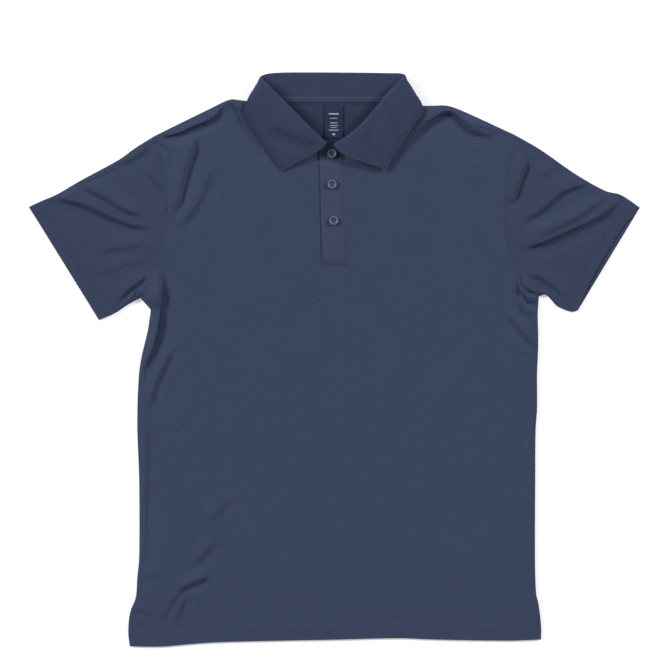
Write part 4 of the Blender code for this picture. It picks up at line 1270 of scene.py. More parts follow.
@dataclass
class Body:
    """The front and back panels, each one cut piece."""

    upper: UpperLayer
    front_rows: tuple[int, int] = (150, 72)  # below the underarm, and beside the armhole
    back_rows: tuple[int, int] = (96, 48)
    gusset_rows: int = 7  # from the side seam to the underarm
    fold_rows: int = 9  # round a shoulder
    seam_rows: int = 9  # from there to the shoulder seam
    shoulder_parts: int = 4  # columns in each of SHOULDER_CELLS
    neck_columns: int = 52
    vent: float = 62.0  # the slits at the foot of the sides
    vent_points: int = 12
    tightest_fold: float = 1.0  # a shoulder's, as a radius
    side_pucker: float = 3.0  # a side seam puckers the cloth as if it were this much further off

    def panel_side(self, cut: BodyCut, rows: tuple[int, int]) -> Array:
        """Follow a panel's edge, from the hem up the side and round the armhole.

        Args:
            cut: The side.
            rows: How many points lie below the underarm, and beside the armhole.

        Returns:
            The points.
        """
        rise = along(plan_of(cut.seam_side), np.linspace(0, 1, rows[0]))
        corner = np.array([cut.underarm.x, cut.underarm.y])
        share = np.linspace(0, 1, self.gusset_rows + 1)[1:-1, None]
        gusset = rise[-1] + (corner - rise[-1]) * share
        hole = along(plan_of(cut.armhole), np.linspace(0, 1, rows[1] + 1))
        hole[1:, 0] -= cut.side.value * SEAM
        return np.vstack([rise, gusset, hole])

    def shoulder_xs(self, stretch: Sequence[Edge], cut: BodyCut, inset: float = SEAM) -> Array:
        """Place the columns over one shoulder.

        Args:
            stretch: The edge that they end at.
            cut: The shoulder's side.
            inset: How far inside that edge the outermost one is.

        Returns:
            Each column's x, from -X to +X.
        """
        start = stretch[0].x - cut.side.value * inset
        xs = start + (stretch[-1].x - start) * finer(SHOULDER_CELLS, self.shoulder_parts)
        return xs if cut.side is Side.RIGHT else xs[::-1]

    def between(self, right: Array, left: Array) -> Array:
        """x of the columns across the neck, between the two shoulders."""
        return np.linspace(right[-1], left[0], self.neck_columns + 1)[1:-1]

    def spread(self, top: Array, rows: tuple[int, int]) -> Array:
        """Fill a panel between its top edge, its sides and the hem.

        Args:
            top: The top edge.
            rows: How many rows lie below the underarm, and beside the armhole.

        Returns:
            Its points, by row and column.
        """
        sides = [self.panel_side(cut, rows) for cut in BODY_CUTS]
        sides[0][-1], sides[1][-1] = top[0], top[-1]
        share = (top[:, 0] - top[0, 0]) / (top[-1, 0] - top[0, 0])
        hem = plan_of(HEM)
        bottom = at_x(hem, hem[0, 0] + share * (hem[-1, 0] - hem[0, 0]))
        rise = gone_along(sides[0])
        rise /= rise[-1]
        across = (bottom[:, 0] - bottom[0, 0]) / (bottom[-1, 0] - bottom[0, 0])
        return bridged(bottom, top, *sides, rise, across)

    def vents(self) -> list[Array]:
        """Find the open slits at the foot of each side.

        Returns:
            A line for each.
        """
        found = []
        for cut in BODY_CUTS:
            side = plan_of(cut.seam_side)
            share = self.vent / gone_along(side)[-1]
            found.append(along(side, np.linspace(0, share, self.vent_points)))
        return found

    def seam_lines(self, places: Array, with_shoulders: bool) -> dict[str, Array]:
        """Distances to the panel's hem and seams.

        Args:
            places: Rows of (x, y).
            with_shoulders: Whether the shoulder seams are near these places.

        Returns:
            The distances by the names that the jersey reads.
        """
        seams = [plan_of(cut.armhole) for cut in BODY_CUTS]
        if with_shoulders:
            seams += [plan_of(cut.shoulder_seam) for cut in BODY_CUTS]
        seam = distance_to(seams, places)
        side = distance_to([plan_of(cut.seam_side) for cut in BODY_CUTS], places)
        return {
            "hem": distance_to([plan_of(HEM)], places),
            "seam": np.minimum(seam, distance_to(self.vents(), places)),
            "pucker": np.minimum(seam, side + self.side_pucker),
        }

    def front(self) -> Wall:
        """Make the front, from hem to shoulder seams, with the neckline cut out of its top.

        Returns:
            Its sheet.
        """
        right = self.shoulder_xs(BODY_RIGHT.shoulder_seam, BODY_RIGHT)
        left = self.shoulder_xs(BODY_LEFT.shoulder_seam, BODY_LEFT)
        top = np.vstack([
            at_x(plan_of(BODY_RIGHT.shoulder_seam), right),
            at_x(plan_of(NECKLINE_FRONT), self.between(right, left)),
            at_x(plan_of(BODY_LEFT.shoulder_seam), left),
        ])
        top[:, 1] -= GAP / 2
        grid = self.spread(top, self.front_rows)
        places = grid.reshape(-1, 2)
        moved, height = self.upper.lie(places)
        points = np.column_stack([moved, height])
        lines = self.seam_lines(places, with_shoulders=True)
        return Wall("front_panel", points, grid_quads(*grid.shape[:2]), places, lines=lines)

    def fold_start(self, cut: BodyCut) -> tuple[Array, Array, Array]:
        """Find where the back starts to turn over at a shoulder.

        Args:
            cut: The shoulder's side.

        Returns:
            The points, the ways out and the radii.
        """
        xs = self.shoulder_xs(cut.fold, cut)
        edge = at_x(smooth_curve(cut.fold), xs)
        way = unit(np.stack([-np.gradient(edge[:, 1], xs), np.ones_like(xs)], 1))
        radius = np.maximum((edge[:, 2] - back_height(edge)) / 2, self.tightest_fold)
        return edge[:, :2] - way * (radius + JERSEY / 2)[:, None], way, radius

    def over_shoulder(self, cut: BodyCut, start: Array, way: Array, radius: Array) -> Array:
        """Take the back round the fold and forward to the shoulder seam.

        Args:
            cut: The shoulder's side.
            start, way, radius: What fold_start gives.

        Returns:
            Its points, by row and column.
        """
        low, high = back_height(start), self.upper.height(start)
        rows = turned_over(start, way, radius, low, high, self.fold_rows)
        seam = cut.shoulder_seam
        reach = at_x(plan_of(seam), self.shoulder_xs(seam, cut, inset=0.0))
        reach[:, 1] += GAP / 2
        for share in np.linspace(0, 1, self.seam_rows + 1):
            moved, height = self.upper.lie(start + (reach - start) * share)
            rows.append(np.column_stack([moved, height]))
        return np.array(rows)

    def back(self) -> Wall:
        """Make the back: a flat layer, and a strip over each shoulder to the seam in front.

        Returns:
            Its sheet.
        """
        starts = [self.fold_start(cut) for cut in BODY_CUTS]
        neck = self.between(starts[0][0][:, 0], starts[1][0][:, 0])
        neckline = np.stack([neck, np.full(len(neck), NECKLINE_BACK_Y - GAP / 2)], 1)
        grid = self.spread(np.vstack([starts[0][0], neckline, starts[1][0]]), self.back_rows)
        rows, columns = grid.shape[:2]
        places = grid.reshape(-1, 2)
        points = [np.column_stack([places, back_height(places)])]
        cloth, quads = [places], [grid_quads(rows, columns)]
        lines = [self.seam_lines(places, with_shoulders=False)]
        first = rows * columns
        offsets = (0, columns - len(starts[1][0]))
        for cut, start, offset in zip(BODY_CUTS, starts, offsets):
            over = self.over_shoulder(cut, *start)
            count = over.shape[1]
            strip = first + np.arange(over.shape[0] * count).reshape(over.shape[:2])
            joined = np.vstack([(rows - 1) * columns + offset + np.arange(count), strip])
            gone = np.linalg.norm(np.diff(over, axis=0, prepend=over[:1]), axis=2).cumsum(0)
            cloth.append(np.stack([over[..., 0], start[0][:, 1] + gone], -1).reshape(-1, 2))
            points.append(over.reshape(-1, 3))
            quads.append(joined_rows(joined))
            lines.append(self.seam_lines(over.reshape(-1, 3)[:, :2], with_shoulders=True))
            first += over.shape[0] * count
        merged = {name: np.concatenate([each[name] for each in lines]) for name in lines[0]}
        facing_down = np.vstack(quads)[:, ::-1]
        return Wall("back_panel", np.vstack(points), facing_down, np.vstack(cloth), lines=merged)


@dataclass
class Sleeve:
    """One sleeve: a lower layer, the fold along its top, and an upper layer."""

    cut: SleeveCut
    body: BodyCut
    upper: UpperLayer
    length_parts: int = 5  # columns in each of SLEEVE_CELLS
    hole_rows: int = 88  # up the armhole, in each layer
    cap_rows: int = 6  # from its top to the fold
    fold_rows: int = 10
    drawn_in: float = 20.0  # how far from the fold the cloth is drawn in by it

    def armhole_line(self) -> Array:
        """Follow the sleeve's edge, from the underarm up the armhole and on to the fold.

        Returns:
            The points.
        """
        hole = along(plan_of(self.body.armhole), np.linspace(0, 1, self.hole_rows + 1))
        fold = np.array(self.cut.top[0][:2])
        share = np.linspace(0, 1, self.cap_rows + 1)[1:, None]
        hole = np.vstack([hole, hole[-1] + (fold - hole[-1]) * share])
        hole[:, 0] += self.body.side.value * SEAM
        return hole

    def layers(self) -> tuple[Array, Array, Array, Array, Array]:
        """Lay the cut out in its two layers.

        Returns:
            The lower and upper layers' places, and the fold's start, ways out and radii.
        """
        reach = finer(SLEEVE_CELLS, self.length_parts)
        hole = self.armhole_line()
        under = along(plan_of(self.cut.underside)[::-1], reach)
        over = along(smooth_curve(self.cut.top), reach)
        under[0], over[0, :2] = hole[0], hole[-1]
        shares = gone_along(hole)
        shares /= shares[-1]
        found = []
        for cuff in (self.cut.cuff, self.cut.cuff_upper):
            end = along(plan_of(cuff)[::-1], shares)
            end[0], end[-1] = under[-1], over[-1, :2]
            found.append(bridged(hole, end, under, over[:, :2], reach, shares))
        way = unit(np.stack([-np.gradient(over[:, 1]), np.gradient(over[:, 0])], 1))
        way *= np.sign((way * (found[0][:, -1] - found[0][:, -2])).sum(1))[:, None]
        radius = (over[:, 2] - BACK_MID) / 2
        for layer in found:
            off = np.linalg.norm(layer - over[:, None, :2], axis=2)
            drawn = eased(np.clip(1 - off / self.drawn_in, 0, 1)) * (radius + JERSEY / 2)[:, None]
            layer -= way[:, None] * drawn[..., None]
        return (*found, found[0][:, -1], way, radius)

    def wall(self, name: str) -> Wall:
        """Make the sleeve, from the underarm seam's lower edge round to its upper one.

        Args:
            name: The piece's name.

        Returns:
            Its sheet.
        """
        low, high, start, way, radius = self.layers()
        level = np.full((*low.shape[:2], 1), BACK_MID)
        rows = list(np.concatenate([low, level], axis=2).swapaxes(0, 1))
        rows += turned_over(
            start, way, radius, level[:, -1, 0], self.upper.height(start), self.fold_rows
        )
        moved, height = self.upper.lie(high.reshape(-1, 2))
        upper = np.column_stack([moved, height]).reshape(*high.shape[:2], 3)
        rows += list(upper.swapaxes(0, 1)[::-1])
        grid = np.array(rows)
        points = grid.reshape(-1, 3)
        lower = np.arange(len(points)) < (len(grid) - high.shape[1]) * grid.shape[1]
        cuffs = [
            distance_to([plan_of(cuff)], points[:, :2])
            for cuff in (self.cut.cuff, self.cut.cuff_upper)
        ]
        lines = {
            "hem": np.where(lower, *cuffs),
            "seam": np.full(len(points), FAR),
            "pucker": distance_to([plan_of(self.body.armhole)], points[:, :2]),
        }
        quads = grid_quads(*grid.shape[:2])
        wall = Wall(name, points, quads, self.flattened(grid), lines=lines)
        if wall.normals()[-1, 2] < 0:
            wall.quads = quads[:, ::-1]
        return wall

    def flattened(self, grid: Array) -> Array:
        """Flatten the sleeve: round the arm, and down its length.

        Args:
            grid: Its points, by row and column.

        Returns:
            Each point's place on the flat cloth.
        """
        around = np.linalg.norm(np.diff(grid, axis=0, prepend=grid[:1]), axis=2).cumsum(0)
        cuff_middle = np.mean([edge[:2] for edge in self.cut.cuff], axis=0)
        hole_middle = np.mean([edge[:2] for edge in self.body.armhole], axis=0)
        down = grid[..., :2] @ unit(cuff_middle - hole_middle)
        return np.stack([around, down], -1).reshape(-1, 2)


@dataclass
class Collar:
    """The collar: one knitted strip that stands, rolls over and falls, open at the front."""

    steps: int = 12  # sections read between two rows of the table
    stand_rows: int = 12
    roll_rows: int = 10
    leaf_rows: int = 40
    stand_pull: float = 0.35  # how far each end of the stand's curve runs on, as a share of it
    fall_pull: float = 0.3  # the same of the leaf's
    crowding: float = 1.25  # how much closer its rows lie towards the free edge
    tipping: tuple[float, ...] = (5.0, 8.8)  # raised lines beside the free edge
    tipping_height: float = 0.55
    tipping_half: float = 1.6  # half their width
    face_up: tuple[float, float] = (0.2, 0.9)  # how far the turn looks up where the leaf shows
    crease_fade: float = 12.0  # how far from the free edge creases are whole

    def sections(self) -> tuple[Array, Array]:
        """Read the table finely, from the left front end round the back to the right.

        Returns:
            Seam, roll and leaf with the radius, and the way from stand to fall.
        """
        table = list(reversed(COLLAR_LEFT)) + list(COLLAR_RIGHT)
        sides = np.repeat([1.0, -1.0], [len(COLLAR_LEFT), len(COLLAR_RIGHT)])
        angle = np.radians([section.turn for section in table])
        way = np.stack([sides * np.cos(angle), np.zeros(len(table)), np.sin(angle)], 1)
        rows = np.array([(*s.seam, *s.roll, *s.leaf, s.radius) for s in table])
        fine = smooth_curve(np.hstack([rows, way]), self.steps, slice(3, 6))
        return fine[:, :10], fine[:, 10:]

    def across(self, row: Array, way: Array, out: Array) -> tuple[Array, Array]:
        """Draw one section.

        Args:
            row: Seam, roll and leaf, and the roll's radius.
            way: The direction along the strip.
            out: The way from stand to fall.

        Returns:
            The points from sewn edge to free edge, and their distance to the free edge.
        """
        seam, roll, leaf, radius = row[0:3], row[3:6], row[6:9], row[9]
        way = unit(way)
        out = unit(out - way * (out @ way))
        up = np.cross(out, way)
        centre = roll - up * radius
        stand_top, leaf_top = centre - out * radius, centre + out * radius
        run, fall = np.linalg.norm(stand_top - seam), np.linalg.norm(leaf - leaf_top)
        stand = bezier(
            (
                seam, seam + (stand_top - seam) * self.stand_pull,
                stand_top - up * run * self.stand_pull, stand_top,
            ),
            np.linspace(0, 1, self.stand_rows + 1),
        )
        angle = np.pi * np.arange(1, self.roll_rows)[:, None] / self.roll_rows
        turn = centre - out * radius * np.cos(angle) + up * radius * np.sin(angle)
        share = 1 - (1 - np.linspace(0, 1, self.leaf_rows + 1)) ** self.crowding
        drop = bezier(
            (
                leaf_top, leaf_top - up * fall * self.fall_pull,
                leaf - (leaf - leaf_top) * self.fall_pull, leaf,
            ),
            share,
        )
        to_edge = np.full(len(stand) + len(turn), FAR)
        return np.vstack([stand, turn, drop]), np.concatenate([to_edge, fall * (1 - share)])

    def wall(self) -> Wall:
        """Make the collar, with its tipping raised on the side that shows.

        Returns:
            Its sheet.
        """
        rows, ways = self.sections()
        along_roll = np.gradient(rows[:, 3:6], axis=0)
        cut = [self.across(*each) for each in zip(rows, along_roll, ways)]
        grid, to_edge = (np.array(part) for part in zip(*cut))
        added, _ = creased(grid[..., :2].reshape(-1, 2), with_paths(COLLAR_CREASES))
        shown = fraction_of(*self.face_up, ways[:, 2])[:, None] * (to_edge < FAR)
        settled = eased(np.clip(to_edge / self.crease_fade, 0, 1))
        grid[..., 2] += shown * settled * added.reshape(to_edge.shape)
        grid[..., 2] = np.maximum(grid[..., 2], COLLAR_KNIT / 2)
        ridges = sum(bump((to_edge - at) / self.tipping_half) for at in self.tipping)
        lift = (shown * ridges * self.tipping_height).reshape(-1)
        roll = rows[:, 3:6]
        strip = np.linalg.norm(np.diff(roll, axis=0, prepend=roll[:1]), axis=1).cumsum()
        depth = np.linalg.norm(np.diff(grid, axis=1, prepend=grid[:, :1]), axis=2).cumsum(1)
        cloth = np.stack([np.broadcast_to(strip[:, None], depth.shape), depth], -1).reshape(-1, 2)
        return Wall(
            "collar_strip", grid.reshape(-1, 3), grid_quads(*grid.shape[:2]), cloth, COLLAR_KNIT,
            {"tipping": np.where(shown > 0, to_edge, FAR).reshape(-1)}, lift,
        )


class Rim(Enum):
    """An edge of a strip, as its axis and the share of the way across where it lies."""

    RIGHT = (0, 1)
    FOOT = (1, 0)
    TOP = (1, 1)


@dataclass
class Strip:
    """A narrow piece that lies on a panel. corners run anticlockwise from the lower left."""

    name: str
    corners: tuple[tuple[float, float], ...]
    cells: tuple[int, int]  # across, and up
    thickness: float
    sewn: tuple[Rim, ...] = ()
    sewn_run: float = 2.2  # how far from a sewn edge the strip has its full thickness
    sewn_step: float = 0.15  # its thickness at a sewn edge
    sewn_gap: float = 0.03
    gap: float = GAP  # under the rest of it

    def wall(self, surface: Surface, start: float = FROM_ABOVE) -> Wall:
        """Lay the strip on a panel.

        Args:
            surface: What it lies on.
            start: How high the search for it starts, in millimetres.

        Returns:
            Its sheet.
        """
        low_left, low_right, high_right, high_left = (np.array(c, float) for c in self.corners)
        across, up = (np.linspace(0, 1, count + 1) for count in self.cells)
        grid = bridged(
            low_left + (low_right - low_left) * across[:, None],
            high_left + (high_right - high_left) * across[:, None],
            low_left + (high_left - low_left) * up[:, None],
            low_right + (high_right - low_right) * up[:, None], up, across,
        )
        places = grid.reshape(-1, 2)
        rest = np.array([surface.height(x, y, start=start) for x, y in places])
        down = np.zeros(grid.shape[:2])
        size = (low_right[0] - low_left[0], high_left[1] - low_left[1])
        shares = (across[None, :], up[:, None])
        for axis, end in (rim.value for rim in self.sewn):
            off = np.abs(shares[axis] - end) * size[axis]
            down = np.maximum(down, 1 - eased(np.clip(off / self.sewn_run, 0, 1)))
        down = down.reshape(-1)
        gap = self.gap + (self.sewn_gap - self.gap) * down
        points = np.column_stack([places, rest + gap + self.thickness / 2])
        quads = grid_quads(*grid.shape[:2])
        lines = {name: np.full(len(places), FAR) for name in ("hem", "seam", "pucker")}
        lift = (self.sewn_step - self.thickness) * down
        return Wall(self.name, points, quads, places - low_left, self.thickness, lines, lift)


def upright(
    x_range: tuple[float, float], y_range: tuple[float, float]
) -> tuple[tuple[float, float], ...]:
    """The corners of an upright rectangle, anticlockwise from the lower left."""
    (left, right), (low, high) = x_range, y_range
    return (left, low), (right, low), (right, high), (left, high)


@dataclass
class Neck:
    """The tape over the collar's seam, and the label that hangs from it."""

    under_collar: float = 7.4  # above the panels and under the collar's front
    tape: Strip = field(default_factory=lambda: Strip(
        "neck_tape_twill", upright((-72.0, 69.0), (339.5, 349.5)), (60, 20), 1.0,
        (Rim.TOP, Rim.FOOT), sewn_run=3.0, sewn_step=0.5,
    ))
    label: Strip = field(default_factory=lambda: Strip(
        "neck_label", upright((-13.2, 11.3), (294.0, 337.5)), (10, 24), 1.0
    ))
    seam_in_tape: float = 0.4  # how much the seam's edges inside it round the tape out
    stitched: tuple[tuple[float, float], ...] = ((-66.0, 341.3), (63.0, 341.3))

    def tape_wall(self, surface: Surface) -> Wall:
        """Lay the tape, rounded out over the seam that it covers.

        Args:
            surface: What it lies on.

        Returns:
            Its sheet.
        """
        wall = self.tape.wall(surface, self.under_collar)
        low, high = self.tape.corners[0][1], self.tape.corners[2][1]
        off_middle = 2 * (wall.points[:, 1] - low) / (high - low) - 1
        wall.lift = wall.lift + self.seam_in_tape * bump(off_middle)
        return wall

    def stitching(self, surface: Surface) -> list["SeamRow"]:
        """The row along the tape's foot."""
        return [SeamRow(trimmed(np.array(self.stitched)), surface)]


@dataclass
class Placket:
    """The upper placket: a doubled band, sewn down its left side and across its foot."""

    strip: Strip = field(default_factory=lambda: Strip(
        "placket_band", ((-15.8, 125.0), (16.3, 125.0), (13.2, 279.0), (-20.3, 279.0)),
        (24, 100), 1.4, (Rim.RIGHT, Rim.FOOT), sewn_run=6.0, gap=0.12,
    ))
    crease_y: float = 260.5
    crease: tuple[float, float] = (0.7, 3.5)  # depth and half its width
    foot_rows: tuple[float, ...] = (1.7, 8.1)  # stitches above its foot
    past_sides: float = 1.5  # how far they run on beside it
    free_edge: tuple[float, float] = (0.35, 0.05)  # how much thinner, over this share of the width
    crown: float = 5.0  # how far its top edge arches up between the collar's ends
    crown_run: float = 5.0  # how far below the top the arch starts
    crown_shape: tuple[float, float] = (0.54, 1.5)  # its middle across the band, and its steepness
    lip: float = 3.2  # how much the arch stands up at its edge
    lip_run: float = 2.5  # how far below the top that starts
    lip_shape: tuple[float, float] = (0.55, 2.0)

    def wall(self, surface: Surface) -> Wall:
        """Lay the band, with a round free edge, an arched top and a crease.

        Args:
            surface: What it lies on.

        Returns:
            Its sheet.
        """
        wall = self.strip.wall(surface)
        columns, rows = (count + 1 for count in self.strip.cells)
        share = np.tile(np.linspace(0, 1, columns), rows)
        thinner, edge_share = self.free_edge
        free = -thinner * (1 - fraction_of(0.0, edge_share, share))
        depth, half = self.crease
        trough = -depth * bump((wall.points[:, 1] - self.crease_y) / half)
        wall.lift = wall.lift + free + trough
        top, up = self.strip.corners[2][1], wall.points[:, 1]
        runs, shapes = (self.crown_run, self.lip_run), (self.crown_shape, self.lip_shape)
        near_top, near_edge = (eased(fraction_of(top - run, top, up)) for run in runs)
        arch, stand = (bump(steepness * (share - middle)) for middle, steepness in shapes)
        wall.points[:, 2] += self.lip * near_edge * stand
        wall.points[:, 1] = up + self.crown * near_top * arch
        return wall

    def stitching(self, surface: Surface) -> list["SeamRow"]:
        """The two rows across its foot."""
        (left, low), (right, _) = self.strip.corners[:2]
        ends = np.array([(left - self.past_sides, low), (right + self.past_sides, low)])
        return [SeamRow(trimmed(ends + (0, above)), surface) for above in self.foot_rows]


@dataclass
class Buttons:
    """Three buttons with four holes each, sewn to the placket."""

    across: float = 11.8
    thick: float = 2.5
    rim: float = 1.5
    slope: float = 0.7  # from the rim down to the dish
    dish: float = 1.05  # its depth
    dish_border: float = 0.5
    rounding: float = 0.4
    rounded_from: float = 25.0  # degrees between two faces
    sharp: float = 35.0  # the same, past which an edge that is left stays sharp
    hole: float = 1.6
    hole_radius: float = 1.7
    thread: float = 0.42
    strands: tuple[float, ...] = (-0.33, 0.0, 0.33)  # side by side between two holes
    strand_end: tuple[float, float] = (0.15, -1.0)  # past a hole's middle, and below the dish
    strand_pull: tuple[float, float] = (-0.2, 1.9)  # how its curve leaves a hole, in and up
    shank: float = 0.5  # how far the thread holds them off the placket
    places: tuple[tuple[float, float], ...] = ((-3.2, 273.6), (-3.1, 232.5), (-0.8, 184.3))

    def select_top(self, obj: Object) -> None:
        """Select the faces that look up, and no others.

        Args:
            obj: The button.
        """
        bpy.ops.object.mode_set(mode="EDIT")
        bpy.ops.mesh.select_mode(type="FACE")
        bpy.ops.mesh.select_all(action="DESELECT")
        bpy.ops.object.mode_set(mode="OBJECT")
        for face in obj.data.polygons:
            face.select = face.normal.z > LEVEL[1]

    def model(self, dish: Material, rim: Material) -> Object:
        """Turn one button at the origin, its back at z = 0.

        Args:
            dish, rim: What its hollow middle and its rim are finished with.

        Returns:
            The button.
        """
        deselect_all()
        bpy.ops.mesh.primitive_cylinder_add(
            vertices=64, radius=self.across / 2 * MM, depth=self.thick * MM,
            location=(0, 0, self.thick / 2 * MM),
        )
        obj = bpy.context.object
        bpy.ops.object.transform_apply(location=True)
        self.select_top(obj)
        bpy.ops.object.mode_set(mode="EDIT")
        bpy.ops.mesh.inset(thickness=self.rim * MM)
        bpy.ops.mesh.inset(thickness=self.slope * MM)
        bpy.ops.transform.translate(value=(0, 0, -self.dish * MM))
        bpy.ops.mesh.inset(thickness=self.dish_border * MM)
        bpy.ops.object.mode_set(mode="OBJECT")
        soften = obj.modifiers.new("soften", "BEVEL")
        soften.width = self.rounding * MM
        soften.segments = 4
        soften.limit_method = "ANGLE"
        soften.angle_limit = math.radians(self.rounded_from)
        bpy.ops.object.modifier_apply(modifier=soften.name)
        self.drill(obj)
        obj.data.materials.append(dish)
        obj.data.materials.append(rim)
        inside = self.across / 2 - self.rim
        for face in obj.data.polygons:
            face.material_index = int(face.center.xy.length > inside * MM)
        return obj

    def drill(self, obj: Object) -> None:
        """Cut the four holes through a button.

        Args:
            obj: The button.
        """
        for turn in range(4):
            angle = math.pi / 4 + turn * math.pi / 2
            at = [self.hole_radius * axis(angle) * MM for axis in (math.cos, math.sin)]
            deselect_all()
            bpy.ops.mesh.primitive_cylinder_add(
                vertices=20, radius=self.hole / 2 * MM, depth=4 * self.thick * MM,
                location=(*at, 0),
            )
            cutter = bpy.context.object
            cut = obj.modifiers.new("hole", "BOOLEAN")
            cut.object = cutter
            bpy.context.view_layer.objects.active = obj
            bpy.ops.object.modifier_apply(modifier=cut.name)
            bpy.data.objects.remove(cutter)
        obj.data.set_sharp_from_angle(angle=math.radians(self.sharp))

    def strand(self, y: float) -> Object:
        """Bend one strand from hole to hole along X.

        Args:
            y: Where it runs, in millimetres.

        Returns:
            The strand.
        """
        past, below = self.strand_end
        pull_in, pull_up = self.strand_pull
        reach, height = self.hole_radius / math.sqrt(2) + past, self.thick - self.dish + below
        deselect_all()
        bpy.ops.curve.primitive_bezier_curve_add()
        curve = bpy.context.object.data
        curve.bevel_depth = self.thread / 2 * MM
        curve.bevel_resolution = 2
        curve.resolution_u = 8
        curve.use_fill_caps = True
        for point, end in zip(curve.splines[0].bezier_points, (-1, 1)):
            point.co = Vector((end * reach, y, height)) * MM
            pull = Vector((end * pull_in, 0, pull_up)) * MM
            point.handle_left = point.co + pull
            point.handle_right = point.co + pull
        bpy.ops.object.convert(target="MESH")
        return bpy.context.object

    def stitch(self, finish: Material) -> Object:
        """Make the thread of one button: strands between its holes, in two pairs.

        Args:
            finish: The thread.

        Returns:
            The strands as one object.
        """
        rows = (-self.hole_radius / math.sqrt(2), self.hole_radius / math.sqrt(2))
        strands = [self.strand(row + offset) for row in rows for offset in self.strands]
        deselect_all()
        for strand in strands:
            strand.select_set(True)
        bpy.ops.object.join()
        thread = bpy.context.object
        thread.data.materials.clear()
        thread.data.materials.append(finish)
        thread.data.shade_smooth()
        return thread

    def copy_to(self, model: Object, name: str, x: float, y: float, base: float) -> Object:
        """Copy a button or its thread, with its own mesh and its place in that mesh.

        Args:
            model: What is copied.
            name: The copy's name.
            x, y, base: Where its foot is, in millimetres.

        Returns:
            The copy.
        """
        mesh = model.data.copy()
        mesh.name = name
        points = np.zeros(len(mesh.vertices) * 3)
        mesh.vertices.foreach_get("co", points)
        moved = points.reshape(-1, 3) + np.array((x, y, base)) * MM
        mesh.vertices.foreach_set("co", moved.reshape(-1))
        mesh.update()
        obj = bpy.data.objects.new(name, mesh)
        bpy.context.scene.collection.objects.link(obj)
        return obj

    def build(
        self, surface: Surface, dish: ButtonResin, rim: ButtonResin, thread: SewingThread
    ) -> None:
        """Sew the buttons on.

        Args:
            surface: What they lie on.
            dish: The finish of their hollow middle.
            rim: The finish round it, a lighter copy of the resin as painted highlight.
            thread: The thread's finish.
        """
        button, stitch = self.model(dish.material(), rim.material()), self.stitch(thread.material())
        for number, (x, y) in enumerate(self.places, 1):
            base = surface.height(x, y) + self.shank
            sewn_on = self.copy_to(button, f"shirt_button_{number}", x, y, base)
            dress(sewn_on, "button", f"button_{number}")
            dress(self.copy_to(stitch, f"button_thread_{number}", x, y, base), "button")
        bpy.data.objects.remove(button)
        bpy.data.objects.remove(stitch)


@dataclass
class SeamRow:
    """A row of stitches: the line that it follows, what it is sewn into and which way it looks."""

    line: Array
    surface: Surface
    face: Face = Face.UP


def beside(curve: Array, distance: float) -> Array:
    """A line beside a curve, this far to its left, or to its right if negative."""
    way = unit(np.gradient(curve, axis=0))
    return curve + np.stack([-way[:, 1], way[:, 0]], 1) * distance


def trimmed(curve: Array, ends: float = 0.0) -> Array:
    """A curve read evenly, without this much of it, in millimetres, at each end."""
    length = gone_along(curve)[-1]
    count = max(int(length / LINE_STEP), 2)
    return along(curve, np.linspace(ends / length, 1 - ends / length, count))


@dataclass
class Topstitching:
    """Rows of lockstitch that show on the cloth, each row one joined mesh."""

    pitch: float = 3.0  # from one stitch to the next
    length: float = 2.4
    width: float = 0.55
    proud: float = 0.12  # a stitch's middle above the cloth
    sunk: float = 0.15  # the same below it, on the underside that the shirt lies on

    def model(self) -> tuple[Array, list[list[int]]]:
        """Shape one stitch along X at the origin.

        Returns:
            Its points in millimetres, and its faces.
        """
        deselect_all()
        bpy.ops.mesh.primitive_uv_sphere_add(segments=8, ring_count=6, radius=1)
        obj = bpy.context.object
        bpy.ops.object.mode_set(mode="EDIT")
        bpy.ops.mesh.select_all(action="SELECT")
        bpy.ops.transform.resize(value=(self.width / 2, self.width / 2, self.length / 2))
        bpy.ops.object.mode_set(mode="OBJECT")
        points = np.array([vertex.co for vertex in obj.data.vertices])[:, (2, 1, 0)]
        faces = [list(face.vertices)[::-1] for face in obj.data.polygons]
        bpy.data.objects.remove(obj)
        return points, faces

    def place(self, row: SeamRow) -> tuple[Array, Array]:
        """Space a row's stitches out on its cloth.

        Args:
            row: The row.

        Returns:
            Where they start and where they end, as rows of (x, y, z).
        """
        total = gone_along(row.line)[-1]
        count = int(total / self.pitch)
        middle = (np.arange(count) + 0.5) / count
        ends = []
        for half in (-self.length / 2, self.length / 2):
            places = along(row.line, middle + half / total)
            heights = [row.surface.height(x, y, row.face) for x, y in places]
            ends.append(np.column_stack([places, heights]))
        return ends[0], ends[1]

    def build(self, name: str, rows: Sequence[SeamRow], finish: Material) -> Object:
        """Sew rows of stitches.

        Args:
            name: The joined piece's name.
            rows: The rows.
            finish: The thread.

        Returns:
            The piece.
        """
        points, faces = self.model()
        placed, joined = [], []
        for row in rows:
            starts, ends = self.place(row)
            for start, end in zip(starts, ends):
                way = unit(end - start)
                side = unit(np.cross((0, 0, 1), way))
                up = np.cross(way, side)
                out = self.proud if row.face is Face.UP else self.sunk
                centre = (start + end) / 2 + up * out
                first = len(placed) * len(points)
                placed.append(centre + points @ np.array([way, side, up]))
                joined += [[first + k for k in face] for face in faces]
        obj = mesh_object(name, np.vstack(placed), joined)
        obj.data.materials.append(finish)
        return obj


# ---------------------------------------------------------------- studio


